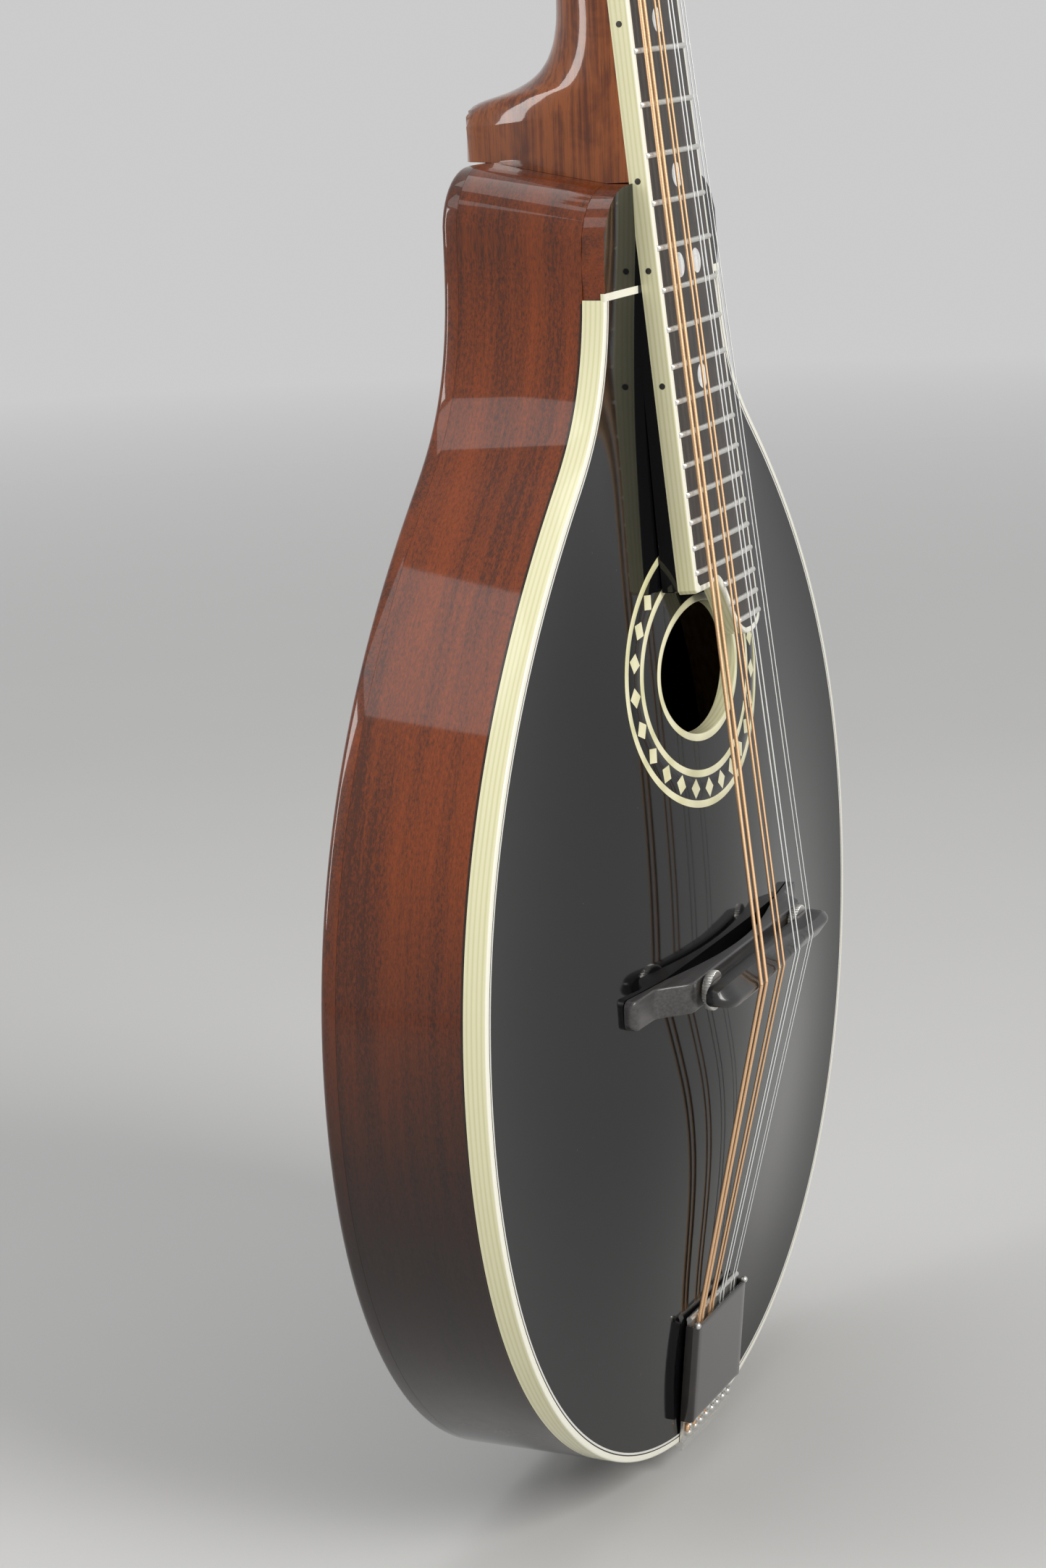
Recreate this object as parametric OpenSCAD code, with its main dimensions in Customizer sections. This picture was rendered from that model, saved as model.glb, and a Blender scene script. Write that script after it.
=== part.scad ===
// Carved-top mandolin with a pear-shaped body, an oval sound hole and an adjustable bridge.
// Up is the neck, the sound board faces -Y and the bass side is -X.
// The origin is the middle of the end pin's tip, which is the instrument's lowest point.

/* [Body] */
// Width of the body across its lower bout
body_w = 254; // [230:1:306]
// Length of the body from the tail to the neck joint
body_len = 339; // [283:1:407]
// Depth from the front edge to the back edge
body_depth = 44; // [38:0.5:54]
// Width of the body where it meets the neck
shoulder_w = 76.6; // [66:0.2:90]
// Rounding of the two upper corners
shoulder_r = 16; // [12:0.5:20]
// Thickness of the bent rim
rim_t = 2.2; // [1.6:0.1:3]
// Height of the front arch above its edge
front_arch = 13; // [9:0.5:16]
// Height of the back arch above its edge
back_arch = 11; // [8:0.5:15]
// Thickness of each carved plate at its middle
plate_mid = 4.2; // [3.2:0.1:5.5]
// Thickness of the front plate at its edge, and height of the binding
front_edge = 6; // [5:0.1:7]
// Thickness of the back plate at its edge
back_edge = 4.4; // [3.5:0.1:5.5]

/* [Bindings] */
// Width of the ivoroid body binding on the front
binding_w = 1.7; // [1.2:0.1:2.4]
// Width of the black and white line inside it
purfling_w = 0.9; // [0.6:0.1:1.4]
// Depth of the line
purfling_h = 0.8; // [0.5:0.1:1.2]
// Height of the strip across the front below the neck
cross_h = 2; // [1.4:0.1:3]

/* [Sound hole] */
// Distance of the sound hole's centre below the neck joint
hole_below = 126; // [120:0.5:140]
// Half the width of the sound hole inside its binding
hole_a = 25.9; // [22:0.1:30]
// Half the height of the sound hole inside its binding
hole_b = 16.9; // [14:0.1:20]
// Width of the ring that binds the hole
hole_ring_w = 2.1; // [1.5:0.1:2.8]
// Width of the plain black band round the hole
hole_gap = 7.4; // [6:0.1:9]
// Width of each of the two rosette rings
ring_w = 1.9; // [1.4:0.1:2.4]
// Width of the band with the diamonds
band_w = 6; // [5:0.1:7.5]
// Number of diamonds in a full turn
diamonds = 26; // [20:2:30]
// Side of a diamond
diamond_s = 3.7; // [2.8:0.1:4.2]
// Depth of the rosette inlay
inlay_t = 1.3; // [0.8:0.1:1.6]

/* [Neck and fingerboard] */
// String length from the nut to the bridge
scale_len = 352.4; // [340:0.2:423]
// Distance of the nut above the neck joint
nut_above = 148.8; // [124:0.2:178]
// Tilt of the neck against the body
neck_tilt = 5.8; // [4:0.1:7]
// Distance of the fingerboard's edge in front of the body's front edge at the neck joint
board_lift = 4.1; // [2.5:0.1:6]
// Width of the fingerboard at the nut
nut_w = 29.3; // [26:0.1:35]
// Width of the fingerboard at the last fret
board_end_w = 42; // [38:0.1:50]
// Thickness of the fingerboard at its edge
board_t = 5; // [4:0.1:6]
// Radius of the fingerboard's crown
board_r = 300; // [250:5:360]
// Thickness of the fingerboard's binding
board_binding = 1.7; // [1.2:0.1:2.4]
// Thickness of the neck with the fingerboard at the nut
neck_d0 = 20.5; // [18:0.5:24]
// Thickness of the neck with the fingerboard before the heel
neck_d1 = 24; // [21:0.5:28]
// Length of the heel along the neck
heel_len = 18.5; // [14:0.5:24]
// How much further the body reaches at its back than at its front, where the heel seats
shoulder_rise = 5.4; // [0:0.2:8]
// Number of frets
fret_count = 24; // [22:1:24]
// Width of a fret
fret_w = 1.5; // [1:0.1:2.4]
// Height of a fret
fret_h = 0.9; // [0.6:0.1:1.2]
// Diameter of the pearl dots
dot_d = 6.3; // [5:0.1:7]
// Diameter of the side dots
side_dot_d = 1.5; // [1.2:0.1:2.4]
// Thickness of the nut along the neck
nut_t = 4.4; // [3.5:0.1:6]

/* [Head] */
// Length of the head
head_len = 152; // [140:1:176]
// Width of the head at its widest
head_w = 76; // [70:1:86]
// Thickness of the head without its veneer
head_t = 13; // [11:0.5:16]
// Thickness of the head veneer
veneer_t = 1.5; // [1:0.1:2.5]
// Tilt of the head against the neck
head_tilt = 14; // [10:0.5:17]

/* [Bridge] */
// Length of the bridge base
base_len = 120; // [108:1:144]
// Thickness of the bridge along the strings
base_t = 8; // [6.5:0.1:10]
// Distance between the two posts
post_gap = 64; // [56:1:72]
// Radius of the posts
post_r = 1.4; // [1.2:0.1:1.8]
// Radius of the thumbwheels
wheel_r = 5.2; // [4:0.1:6.5]
// Thickness of the thumbwheels
wheel_t = 2.3; // [1.8:0.1:3]
// Length of the saddle
saddle_len = 80; // [76:1:96]
// Course spacing of the outer pairs at the bridge
bridge_spread = 37.2; // [33:0.2:44]
// Gap between the two strings of a pair at the bridge
pair_gap = 3.2; // [2.4:0.1:3.6]
// Radius of the holes that run on posts and shafts, over their radius
run_gap = 0.05; // [0.02:0.01:0.1]

/* [Tail] */
// Width of the tailpiece
tail_w = 37; // [30:0.5:42]
// Length of the tailpiece cover
cover_len = 36; // [30:0.5:42]
// Radius of the end pin's head
pin_head_r = 5.5; // [4.5:0.1:7]
// Length of the end pin's head
pin_head_len = 4; // [3:0.1:5]
// Radius of the end pin's shank
pin_r = 3.2; // [2.6:0.1:3.8]
// Thickness of sheet metal fittings
sheet_t = 1.2; // [0.8:0.1:1.6]

/* [Tuners] */
// Distance between neighbouring string posts
post_pitch = 23; // [21:0.5:27]
// Distance of the posts from the middle of the head
post_x = 25; // [22:0.5:27]
// Radius of a string post
tuner_r = 3; // [2.6:0.1:3.4]
// Teeth on a gear
gear_teeth = 14; // [14:1:14]
// Length of a button
button_len = 14; // [11:0.5:18]
// Width of a button
button_w = 15; // [12:0.5:18]
// Thickness of a button
button_t = 5.5; // [4:0.5:8]

/* [Hidden] */
TUNERS = [for (n = [1:8]) n];

pin_y = body_depth / 2 + 1;
pin_len = pin_head_len + 5.5;
half_w = body_w / 2;
bout_z = 0.396 * body_len;
waist = [0.484 * half_w, 0.791 * body_len];
shoulder_x = shoulder_w / 2;
arch_z = 0.354 * body_len;
cross_z = body_len - 27;
hole_z = body_len - hole_below;
ONE = 0.01;
FAR = 400;

// ---- Outline of the body: three curves and a corner arc for each half ----
function bez(a, b, c, d, t) =
    pow(1 - t, 3) * a + 3 * pow(1 - t, 2) * t * b + 3 * (1 - t) * t * t * c + pow(t, 3) * d;
function curve(a, b, c, d, n) = [for (i = [1:n]) bez(a, b, c, d, i / n)];
half_edge = concat(
    [[0, 0]],
    curve([0, 0], [0.57 * half_w, 0], [half_w, 0.39 * bout_z], [half_w, bout_z], 18),
    curve([half_w, bout_z], [half_w, 1.48 * bout_z],
          waist + [0.226 * half_w, -0.08 * body_len], waist, 14),
    curve(waist, waist + [-0.085 * half_w, 0.03 * body_len],
          [shoulder_x, body_len - shoulder_r - 0.094 * body_len],
          [shoulder_x, body_len - shoulder_r], 8),
    [for (i = [1:6]) [shoulder_x - shoulder_r, body_len - shoulder_r]
        + shoulder_r * [cos(15 * i), sin(15 * i)]],
    [[0, body_len]]);
edge_n = len(half_edge);
edge = concat(half_edge, [for (i = [edge_n - 2:-1:1]) [-half_edge[i][0], half_edge[i][1]]]);
function wrap(i) = (i + len(edge)) % len(edge);
function unit(v) = v / norm(v);
function inward(i) = let (d = unit(edge[wrap(i + 1)] - edge[wrap(i - 1)])) [-d[1], d[0]];
function inset(d) = [for (i = [0:len(edge) - 1]) edge[i] + d * inward(i)];

// ---- Height of the carved arches: a bell across, and a longer bell along the body ----
function bell(r) = r >= 1 ? 0 : (1 + cos(180 * r)) / 2;
width_table = [for (i = [0:edge_n - 2]) [half_edge[i][1], half_edge[i][0]]];
function half_at(z) = max(1, lookup(z, width_table));
crest_z = 0.325 * body_len;
crest_reach = 0.516 * body_len;
RIDGE = 0.35;
function along(z) = z < crest_z ? bell((crest_z - z) / crest_z)
    : (1 - RIDGE) * bell((z - crest_z) / crest_reach)
        + RIDGE * (1 - pow((z - crest_z) / (body_len - crest_z), 3));
function arch(x, z, h = front_arch) = h * max(0, along(z)) * bell(abs(x) / half_at(z));

// ---- Share of the way from the plate's middle to its edge ----
bearing_table = [for (p = half_edge) let (v = p - [0, arch_z]) [-atan2(v[1], abs(v[0])), norm(v)]];
bearing_rise = [for (i = [edge_n - 1:-1:0]) bearing_table[i]];
function reach(x, z) = lookup(-atan2(z - arch_z, abs(x)), bearing_rise);
FLANGE = 0.9;
RINGS = [0.13, 0.26, 0.39, 0.52, 0.64, 0.76, 0.86, 0.91, 1];
function hollow(x, z, r, h, t) = r > FLANGE ? t : -arch(x, z, h) + plate_mid - 1.2 * r * r;
function ring_point(i, r, rise) = [edge[i][0] * r, arch_z + (edge[i][1] + lift(i, rise) - arch_z) * r];

// A carved plate: outer skin at y = -arch, glued face at y = t
module carved_plate(h, t, rise = 0) {
    n = len(edge);
    m = len(RINGS);
    skin = [for (r = RINGS) for (i = [0:n - 1])
        let (p = ring_point(i, r, rise)) [p[0], -arch(p[0], p[1], h), p[1]]];
    under = [for (r = RINGS) for (i = [0:n - 1])
        let (p = ring_point(i, r, rise)) [p[0], hollow(p[0], p[1], r, h, t), p[1]]];
    caps = [[0, -arch(0, arch_z, h), arch_z], [0, hollow(0, arch_z, 0, h, t), arch_z]];
    u = m * n;
    top = 2 * u;
    polyhedron(points = concat(skin, under, caps), faces = concat(
        [for (i = [0:n - 1]) [top, (i + 1) % n, i]],
        [for (i = [0:n - 1]) [top + 1, u + i, u + (i + 1) % n]],
        [for (k = [0:m - 2]) for (i = [0:n - 1]) let (a = k * n + i, b = k * n + (i + 1) % n)
            each [[a, b, b + n], [a, b + n, a + n]]],
        [for (k = [0:m - 2]) for (i = [0:n - 1])
            let (a = u + k * n + i, b = u + k * n + (i + 1) % n)
            each [[a, b + n, b], [a, a + n, b + n]]],
        [for (i = [0:n - 1]) let (a = u - n + i, b = u - n + (i + 1) % n)
            each [[a, b, b + u], [a, b + u, a + u]]]));
}

// The shoulder's points end higher by rise
function lift(i, rise) = edge[i][1] > body_len - shoulder_r + ONE ? rise : 0;
// The body's outline inset by d, as a loop at y: its shoulder leans from the front to the back
function side_loop(d, y) = let (flat = inset(d), share = (y - front_edge) / (back_y - front_edge))
    [for (i = [0:len(edge) - 1]) [flat[i][0], y, flat[i][1] + lift(i, shoulder_rise) * share]];
function band(a, b, n) = [for (i = [0:n - 1]) let (j = (i + 1) % n)
    each [[a + i, a + j, b + j], [a + i, b + j, b + i]]];
module bent_wall(d0, d1, y0, y1) {
    n = len(edge);
    polyhedron(points = concat(side_loop(d0, y0), side_loop(d0, y1), side_loop(d1, y1), side_loop(d1, y0)),
        faces = concat(band(0, n, n), band(n, 2 * n, n), band(2 * n, 3 * n, n), band(3 * n, 0, n)));
}
module bent_block(d, y0, y1) {
    n = len(edge);
    polyhedron(points = concat(side_loop(d, y0), side_loop(d, y1)),
        faces = concat([[for (i = [n - 1:-1:0]) i], [for (i = [0:n - 1]) n + i]],
            [for (i = [0:n - 1]) let (j = (i + 1) % n) each [[i, j, n + i], [j, n + j, n + i]]]));
}

// ---- Frames: everything is drawn with the body's front edge at y = 0 and its tail at z = 0 ----
module place() { translate([0, -pin_y, pin_len]) children(); }
// Flat outline in X and Z, given a thickness from y0 to y1
module slab(y0, y1) {
    translate([0, y1, 0]) rotate([90, 0, 0]) linear_extrude(y1 - y0) children();
}
// Round bar along Y
module along_y(r, y0, y1) {
    translate([0, y1, 0]) rotate([90, 0, 0]) cylinder(r = r, h = y1 - y0, $fn = 48);
}
// Round bar along X
module along_x(r, x0, x1) {
    translate([x0, 0, 0]) rotate([0, 90, 0]) cylinder(r = r, h = x1 - x0, $fn = 48);
}
// Flat outline in X and Y, given a height from z0 to z1
module standing(z0, z1) { translate([0, 0, z0]) linear_extrude(z1 - z0) children(); }
// Ring between two insets of the body outline
module edge_ring(d0, d1) {
    difference() {
        polygon(inset(d0));
        polygon(inset(d1));
    }
}
module box(a, b) { translate(a) cube(b - a); }
module below(z) { translate([-FAR / 2, -FAR]) square([FAR, FAR + z]); }

nut_z = body_len + nut_above;
nut_y = -board_lift + nut_above * tan(neck_tilt);
module on_neck() { translate([0, nut_y, nut_z]) rotate([-neck_tilt, 0, 0]) children(); }
function neck_point(p) = [p[0], nut_y + p[1] * cos(neck_tilt) + p[2] * sin(neck_tilt),
                          nut_z - p[1] * sin(neck_tilt) + p[2] * cos(neck_tilt)];
head_y = board_t;
module on_head() { on_neck() translate([0, head_y, nut_t]) rotate([-head_tilt, 0, 0]) children(); }
function head_point(p) = neck_point([p[0],
    head_y + p[1] * cos(head_tilt) + p[2] * sin(head_tilt),
    nut_t - p[1] * sin(head_tilt) + p[2] * cos(head_tilt)]);

// ================= Body =================
rosette_in = hole_ring_w + hole_gap;
rosette_out = rosette_in + 2 * ring_w + band_w;
ELLIPSE_N = 56;
function oval(d, n = ELLIPSE_N) = [for (i = [0:n - 1])
    [(hole_a + d) * sin(360 * i / n), hole_z + (hole_b + d) * cos(360 * i / n)]];

// Oval ring that follows the arch, between two offsets of the hole
module arch_ring(d0, d1, above, depth) {
    n = ELLIPSE_N;
    inner = oval(d0);
    outer = oval(d1);
    function on_arch(p, dy) = [p[0], dy - arch(p[0], p[1]), p[1]];
    points = concat([for (p = inner) on_arch(p, -above)], [for (p = outer) on_arch(p, -above)],
                    [for (p = outer) on_arch(p, depth)], [for (p = inner) on_arch(p, depth)]);
    polyhedron(points = points, faces = [for (k = [0:3]) for (i = [0:n - 1])
        let (a = k * n + i, b = k * n + (i + 1) % n,
             c = ((k + 1) % 4) * n + (i + 1) % n, d = ((k + 1) % 4) * n + i)
        each [[a, c, b], [a, d, c]]]);
}

board_slope = (board_end_w - nut_w) / 2 / -fret_z(24);
riser_end = nut_z + (fret_z(21) - 5.2) * cos(neck_tilt);
riser_floor_slope = tan(neck_tilt) - 0.029;
function riser_floor(z) = (z - (body_len - 31)) * riser_floor_slope;
// Everything in front of the riser's floor, as wide as the fingerboard
module board_seat(y_front) {
    intersection() {
        rotate([90, 0, 90]) translate([0, 0, -FAR / 4]) linear_extrude(FAR / 2)
            polygon([[y_front, riser_end], [riser_floor(riser_end), riser_end],
                     [riser_floor(body_len), body_len], [y_front, body_len]]);
        on_neck() slab(-FAR / 4, FAR / 4) board_plan(0);
    }
}

module binding_space() {
    slab(-5, front_edge + ONE) intersection() {
        edge_ring(-5, binding_w);
        below(cross_z);
    }
}
module purfling_plan() {
    intersection() {
        edge_ring(binding_w, binding_w + purfling_w);
        below(cross_z);
    }
}
cross_y = -arch(board_half(-178), cross_z);
module cross_strip(up) {
    for (s = [-1, 1]) standing(cross_z, cross_z + cross_h)
        polygon([[s * board_half(-178), cross_y - up], [s * shoulder_x * 1.02, -up],
                 [s * shoulder_x * 1.02, 1], [s * board_half(-178), 1]]);
}
module cross_binding() {
    intersection() {
        cross_strip(0);
        slab(-5, 5) polygon(edge);
    }
}

module top_plate() {
    color("#17120f") place() difference() {
        carved_plate(front_arch, front_edge);
        binding_space();
        slab(-5, purfling_h) purfling_plan();
        cross_strip(3);
        arch_ring(rosette_in, rosette_out, 3, inlay_t);
        slab(-FAR / 8, FAR / 8) polygon(oval(hole_ring_w));
        board_seat(-30);
    }
}

back_y = body_depth - back_edge;
module back_plate() {
    color("#5a2a14") place() translate([0, body_depth, 0]) mirror([0, 1, 0])
        carved_plate(back_arch, back_edge, shoulder_rise);
}

module rim() {
    color("#7a3d1c") place() difference() {
        bent_wall(0, rim_t, front_edge, back_y);
        translate([0, pin_y, -1]) cylinder(r = pin_r + run_gap, h = rim_t + 3, $fn = 48);
        tail_screw_holes(rim_t + 3);
        tenon(-ONE, front_edge);
    }
}

lining_w = 6.5;
lining_h = 10;
module linings() {
    color("#d8bd8a") place() difference() {
        union() {
            slab(front_edge, front_edge + lining_h) edge_ring(rim_t, rim_t + lining_w);
            slab(back_y - lining_h, back_y) edge_ring(rim_t, rim_t + lining_w);
        }
        box([-FAR, 0, body_len - head_block_h - rim_t], [FAR, FAR, body_len]);
        box([-tail_block_w / 2, 0, -1], [tail_block_w / 2, FAR, tail_block_h]);
    }
}

head_block_h = 40;
module head_block() {
    color("#8a5a34") place() difference() {
        intersection() {
            bent_block(rim_t, front_edge, back_y);
            box([-FAR, 0, body_len - rim_t - head_block_h], [FAR, FAR, 2 * FAR]);
        }
        tenon(0, front_edge);
    }
}

tail_block_w = 64;
tail_block_h = 20;
module tail_block() {
    color("#b98a58") place() difference() {
        slab(front_edge, back_y) intersection() {
            polygon(inset(rim_t));
            translate([-tail_block_w / 2, 0]) square([tail_block_w, tail_block_h]);
        }
        translate([0, pin_y, -1]) cylinder(r = pin_r + run_gap, h = pin_in + 1, $fn = 48);
        tail_screw_holes(tail_screw_in);
    }
}

module body_binding() {
    color("#e3dca0") place() {
        slab(0, front_edge) intersection() {
            edge_ring(0, binding_w);
            below(cross_z);
        }
        cross_binding();
    }
}

module purfling() { color("#f1eee2") place() slab(0, purfling_h) purfling_plan(); }

module soundhole_binding() { color("#e3dca0") place() arch_ring(0, hole_ring_w, 0, plate_mid); }

module rosette_rings() {
    color("#e3dca0") place() difference() {
        union() {
            arch_ring(rosette_in, rosette_in + ring_w, 0, inlay_t);
            arch_ring(rosette_out - ring_w, rosette_out, 0, inlay_t);
        }
        board_seat(-30);
    }
}

// Diamonds stand a point outwards, evenly spaced along the band's middle
band_mid = rosette_in + ring_w + band_w / 2;
SPREAD_N = 360;
mid_pts = oval(band_mid, SPREAD_N);
function run_to(i) = i == 0 ? [0] : let (l = run_to(i - 1))
    concat(l, [l[i - 1] + norm(mid_pts[i % SPREAD_N] - mid_pts[i - 1])]);
mid_run = run_to(SPREAD_N);
angle_table = [for (i = [0:SPREAD_N]) [mid_run[i], i]];
function diamond_angle(k) = lookup((k + 0.5) * mid_run[SPREAD_N] / diamonds
    + mid_run[SPREAD_N] * (diamonds % 4 == 2 ? 0 : 0.5 / diamonds), angle_table);
function diamond_xz(k) = let (a = diamond_angle(k))
    [(hole_a + band_mid) * sin(a), hole_z + (hole_b + band_mid) * cos(a)];
function under_board(p) = abs(p[0]) < board_half(-240) + 2.5 && p[1] > hole_z;
module diamond_set(above, size) {
    for (k = [0:diamonds - 1]) let (p = diamond_xz(k), a = diamond_angle(k)) if (!under_board(p))
        translate([p[0], 0, p[1]])
            rotate([0, atan2((hole_b + band_mid) * sin(a), (hole_a + band_mid) * cos(a)) + 45, 0])
            slab(-arch(p[0], p[1]) - above, -arch(p[0], p[1]) + inlay_t - 0.3)
            square(size, center = true);
}
module rosette_band() {
    color("#2a1a12") place() difference() {
        arch_ring(rosette_in + ring_w, rosette_out - ring_w, 0, inlay_t);
        diamond_set(2, diamond_s);
        board_seat(-30);
    }
}
module rosette_diamonds() { color("#e3dca0") place() diamond_set(0, diamond_s); }

brace_z = hole_z - rosette_out - hole_b - 6;
brace_w = 150;
module top_brace() {
    color("#dcc59a") place() difference() {
        translate([0, 0, brace_z - 4]) standing(0, 6) polygon(concat(
            [for (x = [-brace_w / 2:6:brace_w / 2]) [x, brace_face(x)]],
            [[brace_w / 2, brace_face(brace_w / 2) + 2], [brace_w / 3, front_edge + 5],
             [-brace_w / 3, front_edge + 5], [-brace_w / 2, brace_face(brace_w / 2) + 2]]));
    }
}
function inner_face(x, z) = hollow(x, z, norm([x, z - arch_z]) / reach(x, z), front_arch, front_edge);
function brace_face(x) = max([for (dz = [-4:2:2]) inner_face(x, brace_z + dz)]) + 0.15;

// ================= Neck =================
function fret_z(n) = -(scale_len - scale_len / pow(2, n / 12));
function board_half(z) = nut_w / 2 - z * board_slope;
board_bass_end = fret_z(21) - 5.2;
board_ext_end = fret_z(fret_count) - 4.8;

// Plan of the fingerboard, drawn in by d at its sides and its end
module board_plan(d) {
    bass = board_half(board_bass_end) - d;
    treble = board_half(board_ext_end) - d;
    ext_arc = [for (i = [0:8]) [treble - 11 + (11 + 0) * cos(-10 * i), board_ext_end + d + 4
        + 4 * sin(-11.25 * i)]];
    throat = curve([ext_arc[8][0], board_ext_end + d], [-1 + d / 2, board_ext_end + d],
                   [0, board_bass_end + d + 1], [-9 + d / 2, board_bass_end + d + 1], 10);
    polygon(concat([[-nut_w / 2 + d, 0], [-bass, board_bass_end + d + 1], [-bass + 1, board_bass_end + d]],
                   [[-11, board_bass_end + d]],
                   [for (i = [len(throat) - 1:-1:0]) throat[i]],
                   [for (i = [7:-1:0]) ext_arc[i]],
                   [[nut_w / 2 - d, 0]]));
}
// The part of a piece under the fingerboard's crown, r above the board
module crown(r) {
    standing(-FAR, FAR) polygon(concat([[CROWN_X, FAR / 8], [-CROWN_X, FAR / 8]],
        [for (x = [-CROWN_X:3:CROWN_X]) [x, x * x / 2 / board_r - crown_rise - r]]));
}
CROWN_X = 27;
crown_rise = board_half(-200) * board_half(-200) / 2 / board_r;

module fretboard() {
    color("#2b2320") place() on_neck() difference() {
        intersection() {
            slab(-4, board_t) board_plan(board_binding);
            crown(0);
        }
        fret_set(0.5, -3, 2.2);
        dot_set(1);
    }
}
module fretboard_binding() {
    color("#e3dca0") place() on_neck() difference() {
        intersection() {
            slab(-4, board_t) difference() {
                board_plan(0);
                board_plan(board_binding);
            }
            crown(0);
        }
        side_dot_set();
    }
}
// Slots or tangs: w wide, from y0 to y1
module fret_set(w, y0, y1) {
    intersection() {
        slab(y0 - ONE, y1) board_plan(board_binding);
        for (n = [1:fret_count]) translate([0, 0, fret_z(n)])
            box([-FAR, y0, -w / 2], [FAR, y1, w / 2]);
    }
}
module frets() {
    color("#c9c6bd") place() on_neck() {
        intersection() {
            slab(-FAR, FAR) board_plan(0.5);
            difference() {
                crown(fret_h);
                crown(0);
            }
            for (n = [1:fret_count]) translate([0, 0, fret_z(n)])
                box([-FAR, -10, -fret_w / 2], [FAR, 10, fret_w / 2]);
        }
        intersection() {
            fret_set(0.5, -3, 2.2);
            crown(0);
        }
    }
}
function between(n) = (fret_z(n) + fret_z(n - 1)) / 2;
DOTS = [[5, 0], [7, 0], [10, 0], [12, -1], [12, 1], [15, 0]];
twin_x = 11.5;
module dot_set(up) {
    for (d = DOTS) translate([d[1] * twin_x, 0, between(d[0])]) along_y(dot_d / 2, -3 - up, 0.6);
}
module face_dots() {
    color("#e9ebee") place() on_neck() intersection() {
        dot_set(0);
        crown(0);
    }
}
module side_dot_set() {
    for (n = [5, 7, 10, 12, 15]) translate([0, board_t / 2, between(n)])
        along_x(side_dot_d / 2, -board_half(between(n)) - 1, -board_half(between(n)) + 0.8);
}
module side_dots() {
    color("#15110e") place() on_neck() intersection() {
        side_dot_set();
        slab(-4, board_t) board_plan(0);
    }
}
module fretboard_riser() {
    color("#120e0c") place() difference() {
        board_seat(-30);
        on_neck() box([-FAR, -FAR, -FAR], [FAR, board_t, FAR]);
    }
}

nut_top = -crown_rise - fret_h - 0.5;
module nut() {
    color("#efe8d2") place() on_neck() difference() {
        intersection() {
            box([-nut_w / 2, -3, 0], [nut_w / 2, board_t, nut_t]);
            crown(fret_h + 0.9);
        }
        for (c = [0:3]) for (s = [-1, 1])
            nut_groove(STRING_R[c] + 0.06, nut_local(c, s));
    }
}

// Section of the neck at z: half width w, depth d below the board's face
SECTION_N = 14;
function section(w, d, z, e) = [for (i = [0:SECTION_N])
    let (a = 180 * i / SECTION_N, c = cos(a), s = sin(a))
    [w * sign(c) * pow(abs(c), e), board_t + (d - board_t) * pow(abs(s), e), z]];
heel_front = -(nut_above - heel_len) / cos(neck_tilt) + 1;
// Rows of [z, depth, corner shape] from the joint to the head
NECK_ROWS = [
    [-nut_above / cos(neck_tilt) - 12, 60, 0.95], [heel_front, 60, 0.95],
    [heel_front + 4.4, 54, 0.95], [heel_front + 6, 48.6, 0.94], [heel_front + 7, 42.6, 0.93],
    [heel_front + 8.6, 36.8, 0.92], [heel_front + 10.4, 33, 0.9], [heel_front + 12.8, 30, 0.88],
    [heel_front + 16, 27.6, 0.87], [heel_front + 21, 25.5, 0.86], [heel_front + 29, neck_d1, 0.85],
    [heel_front / 2, (neck_d0 + neck_d1) / 2, 0.85], [-18, neck_d0, 0.85],
    [-6, neck_d0 + 0.6, 0.88], [3, neck_d0 + 2.2, 0.92], [nut_t + 8, neck_d0 + 1.6, 1]];
module neck_shaft() {
    rings = [for (r = NECK_ROWS) section(min(board_half(r[0]), 30), r[1], r[0], r[2])];
    m = SECTION_N + 1;
    k = len(rings);
    polyhedron(points = [for (r = rings) each r], faces = concat(
        [[for (i = [0:m - 1]) i]], [[for (i = [m - 1:-1:0]) (k - 1) * m + i]],
        [for (j = [0:k - 2]) for (i = [0:m - 1]) let (a = j * m + i, b = j * m + (i + 1) % m)
            each [[a, b + m, b], [a, a + m, b + m]]]));
}
heel_y = body_depth + 5.5;
// Room past the leaning end of the body, as deep as the heel
module above_joint() {
    translate([-FAR, 0, 0]) rotate([90, 0, 90]) linear_extrude(2 * FAR)
        polygon([[-FAR, body_len], [front_edge, body_len], [back_y, body_len + shoulder_rise],
                 [heel_y, body_len + shoulder_rise], [heel_y, 2 * FAR], [-FAR, 2 * FAR]]);
}
tenon_w = [18, 24];
tenon_len = 20;
// Dovetail of the neck in the head block, drawn out by d
module tenon(d, y0) {
    top = body_len + shoulder_rise + ONE;
    slab(y0, back_y) polygon([[-tenon_w[0] / 2 - d, top], [tenon_w[0] / 2 + d, top],
        [tenon_w[1] / 2 + d, body_len - tenon_len - d], [-tenon_w[1] / 2 - d, body_len - tenon_len - d]]);
}
head_half = head_w / 2;
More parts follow.
